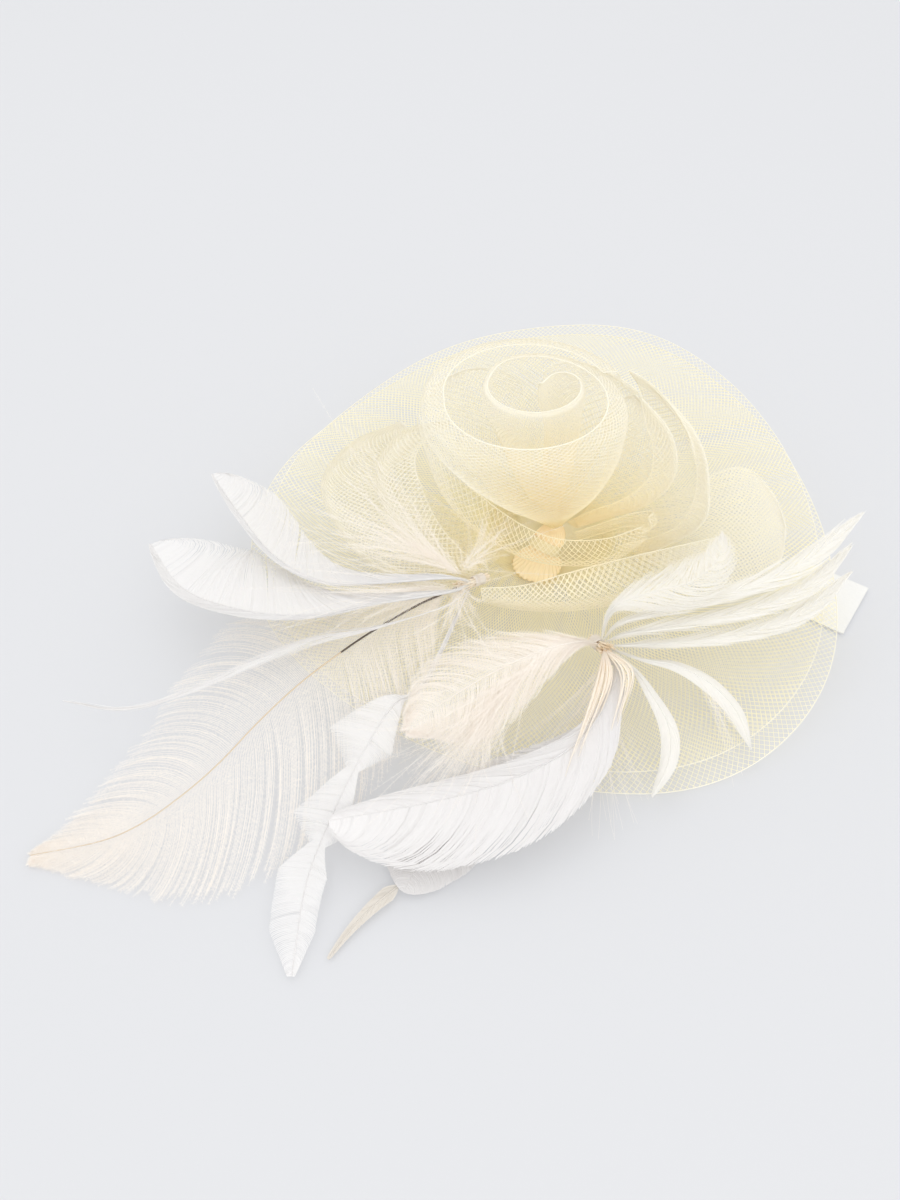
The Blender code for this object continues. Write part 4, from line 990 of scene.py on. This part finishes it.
def make_pad():
    felt = textured("wool_felt", (0.93, 0.88, 0.74), (0.78, 0.72, 0.58), 0.95, 900.0, 0.0006)
    buckram = textured("stiff_buckram", (0.92, 0.88, 0.76), (0.80, 0.75, 0.62), 0.8, 1500.0, 0.0003)
    lay_round("felt_round", "felt_pad", felt, PAD_RADIUS, PAD_BOTTOM, PAD_THICKNESS, 1.0)
    lay_round("buckram_round", "base_disc", buckram, BASE_RADIUS, BASE_BOTTOM,
              BASE_THICKNESS, 0.5)

    stitches = Mesh()
    for i in range(STITCHES):
        angle = 2 * math.pi * i / STITCHES
        out = np.array([math.cos(angle), math.sin(angle), 0.0])
        along = np.array([-math.sin(angle), math.cos(angle), 0.0])
        stitches.tube([out * (PAD_RADIUS - 3.4) + (0, 0, PAD_BOTTOM + 0.05),
                       out * (PAD_RADIUS - 1.6) + (0, 0, PAD_BOTTOM - 0.15),
                       out * (PAD_RADIUS + 0.05) + (0, 0, PAD_BOTTOM + 0.6),
                       out * (PAD_RADIUS + 0.3) + along * 0.2 + (0, 0, PAD_BOTTOM + 1.8)], 0.2, 5)
    thread = stitches.piece("pad_stitches", [CREAM])


def brushed(name, colour, roughness):
    made = principled(name, colour, roughness, Metallic=1.0)
    nodes, links = made.node_tree.nodes, made.node_tree.links
    place = nodes.new("ShaderNodeTexCoord")
    stretch = nodes.new("ShaderNodeMapping")
    stretch.inputs["Scale"].default_value = (300.0, 9000.0, 3000.0)
    grain = nodes.new("ShaderNodeTexNoise")
    grain.inputs["Scale"].default_value = 1.0
    grain.inputs["Detail"].default_value = 4.0
    level = nodes.new("ShaderNodeMapRange")
    level.inputs["To Min"].default_value = roughness - 0.08
    level.inputs["To Max"].default_value = roughness + 0.14
    links.new(place.outputs["Object"], stretch.inputs["Vector"])
    links.new(stretch.outputs["Vector"], grain.inputs["Vector"])
    links.new(grain.outputs["Fac"], level.inputs["Value"])
    links.new(level.outputs["Result"], nodes["Principled BSDF"].inputs["Roughness"])
    return made


def finish_fittings():
    """Materials for the rigid parts, whose shapes are the CAD model's own."""
    steel = brushed("plated_steel", (0.72, 0.72, 0.73), 0.28)
    wire_steel = principled("spring_steel", (0.55, 0.55, 0.57), 0.25, Metallic=1.0)
    card = textured("white_card", (0.80, 0.80, 0.79), (0.75, 0.75, 0.74), 0.75, 700.0, 0.00005)
    nylon = principled("clear_nylon", (0.90, 0.90, 0.90), 0.3)
    looks = {"clip_base": steel, "clip_lever": steel, "clip_pin": wire_steel, "clip_spring": wire_steel,
             "brooch_bar": steel, "brooch_rivet": wire_steel, "brooch_pin": wire_steel,
             "catch_roller": steel, "swing_tag": card, "tag_fastener": nylon}
    for name, look in looks.items():
        for place in bpy.data.objects[name].material_slots:
            place.link = "OBJECT"
            place.material = look


# ---------- camera, light and floor

def look_at_hat():
    """The camera of the photograph: in front of the hat, 48 degrees above it."""
    data = bpy.data.cameras.new("camera")
    data.sensor_fit = "VERTICAL"
    data.sensor_height = 36.0
    data.lens = 27.9
    camera = bpy.data.objects.new("camera", data)
    camera.location = (-0.02215, -0.3156, 0.3581)
    camera.rotation_euler = (math.radians(42), 0.0, 0.0)
    bpy.context.scene.collection.objects.link(camera)
    bpy.context.scene.camera = camera


# Name, place, diameter and power in watts.
LAMPS = (("key", (-0.3, 0.5, 1.3), 0.9, 1.1), ("fill", (0.2, -0.8, 0.9), 1.2, 2.1))
SKY = 1.16
FLOOR_REACH = 3.0

# A lit table: part of the light comes from below.
FLOOR = principled("floor", (0.42, 0.425, 0.440), 0.9, Emission_Color=(0.97, 0.98, 1.0, 1.0),
                   Emission_Strength=0.27)


def light_studio():
    world = bpy.data.worlds.new("studio")
    bpy.context.scene.world = world
    world.use_nodes = True
    sky = world.node_tree.nodes["Background"]
    sky.inputs["Color"].default_value = (1.0, 1.0, 1.0, 1.0)
    sky.inputs["Strength"].default_value = SKY
    for name, place, size, power in LAMPS:
        data = bpy.data.lights.new(name, "AREA")
        data.shape = "DISK"
        data.size = size
        data.energy = power
        lamp = bpy.data.objects.new(name, data)
        lamp.location = place
        lamp.rotation_euler = (-Vector(place)).to_track_quat("-Z", "Y").to_euler()
        bpy.context.scene.collection.objects.link(lamp)


def lay_floor():
    mesh = bpy.data.meshes.new("floor")
    corners = [(x * FLOOR_REACH, y * FLOOR_REACH, 0.0) for x, y in ((-1, -1), (1, -1), (1, 1), (-1, 1))]
    mesh.from_pydata(corners, [], [(0, 1, 2, 3)])
    mesh.materials.append(FLOOR)
    floor = bpy.data.objects.new("floor", mesh)
    bpy.context.scene.collection.objects.link(floor)


def main():
    scene = bpy.context.scene
    scene.view_settings.view_transform = "Standard"
    # Light is scattered from thread to thread many times before it leaves the flower.
    scene.cycles.max_bounces = 24
    scene.cycles.diffuse_bounces = 16
    scene.cycles.transmission_bounces = 16
    look_at_hat()
    light_studio()
    lay_floor()
    make_brim()
    make_rose()
    make_loops()
    make_feathers()
    make_sprays()
    make_plume()
    make_ties()
    make_knot()
    make_pad()
    finish_fittings()


main()
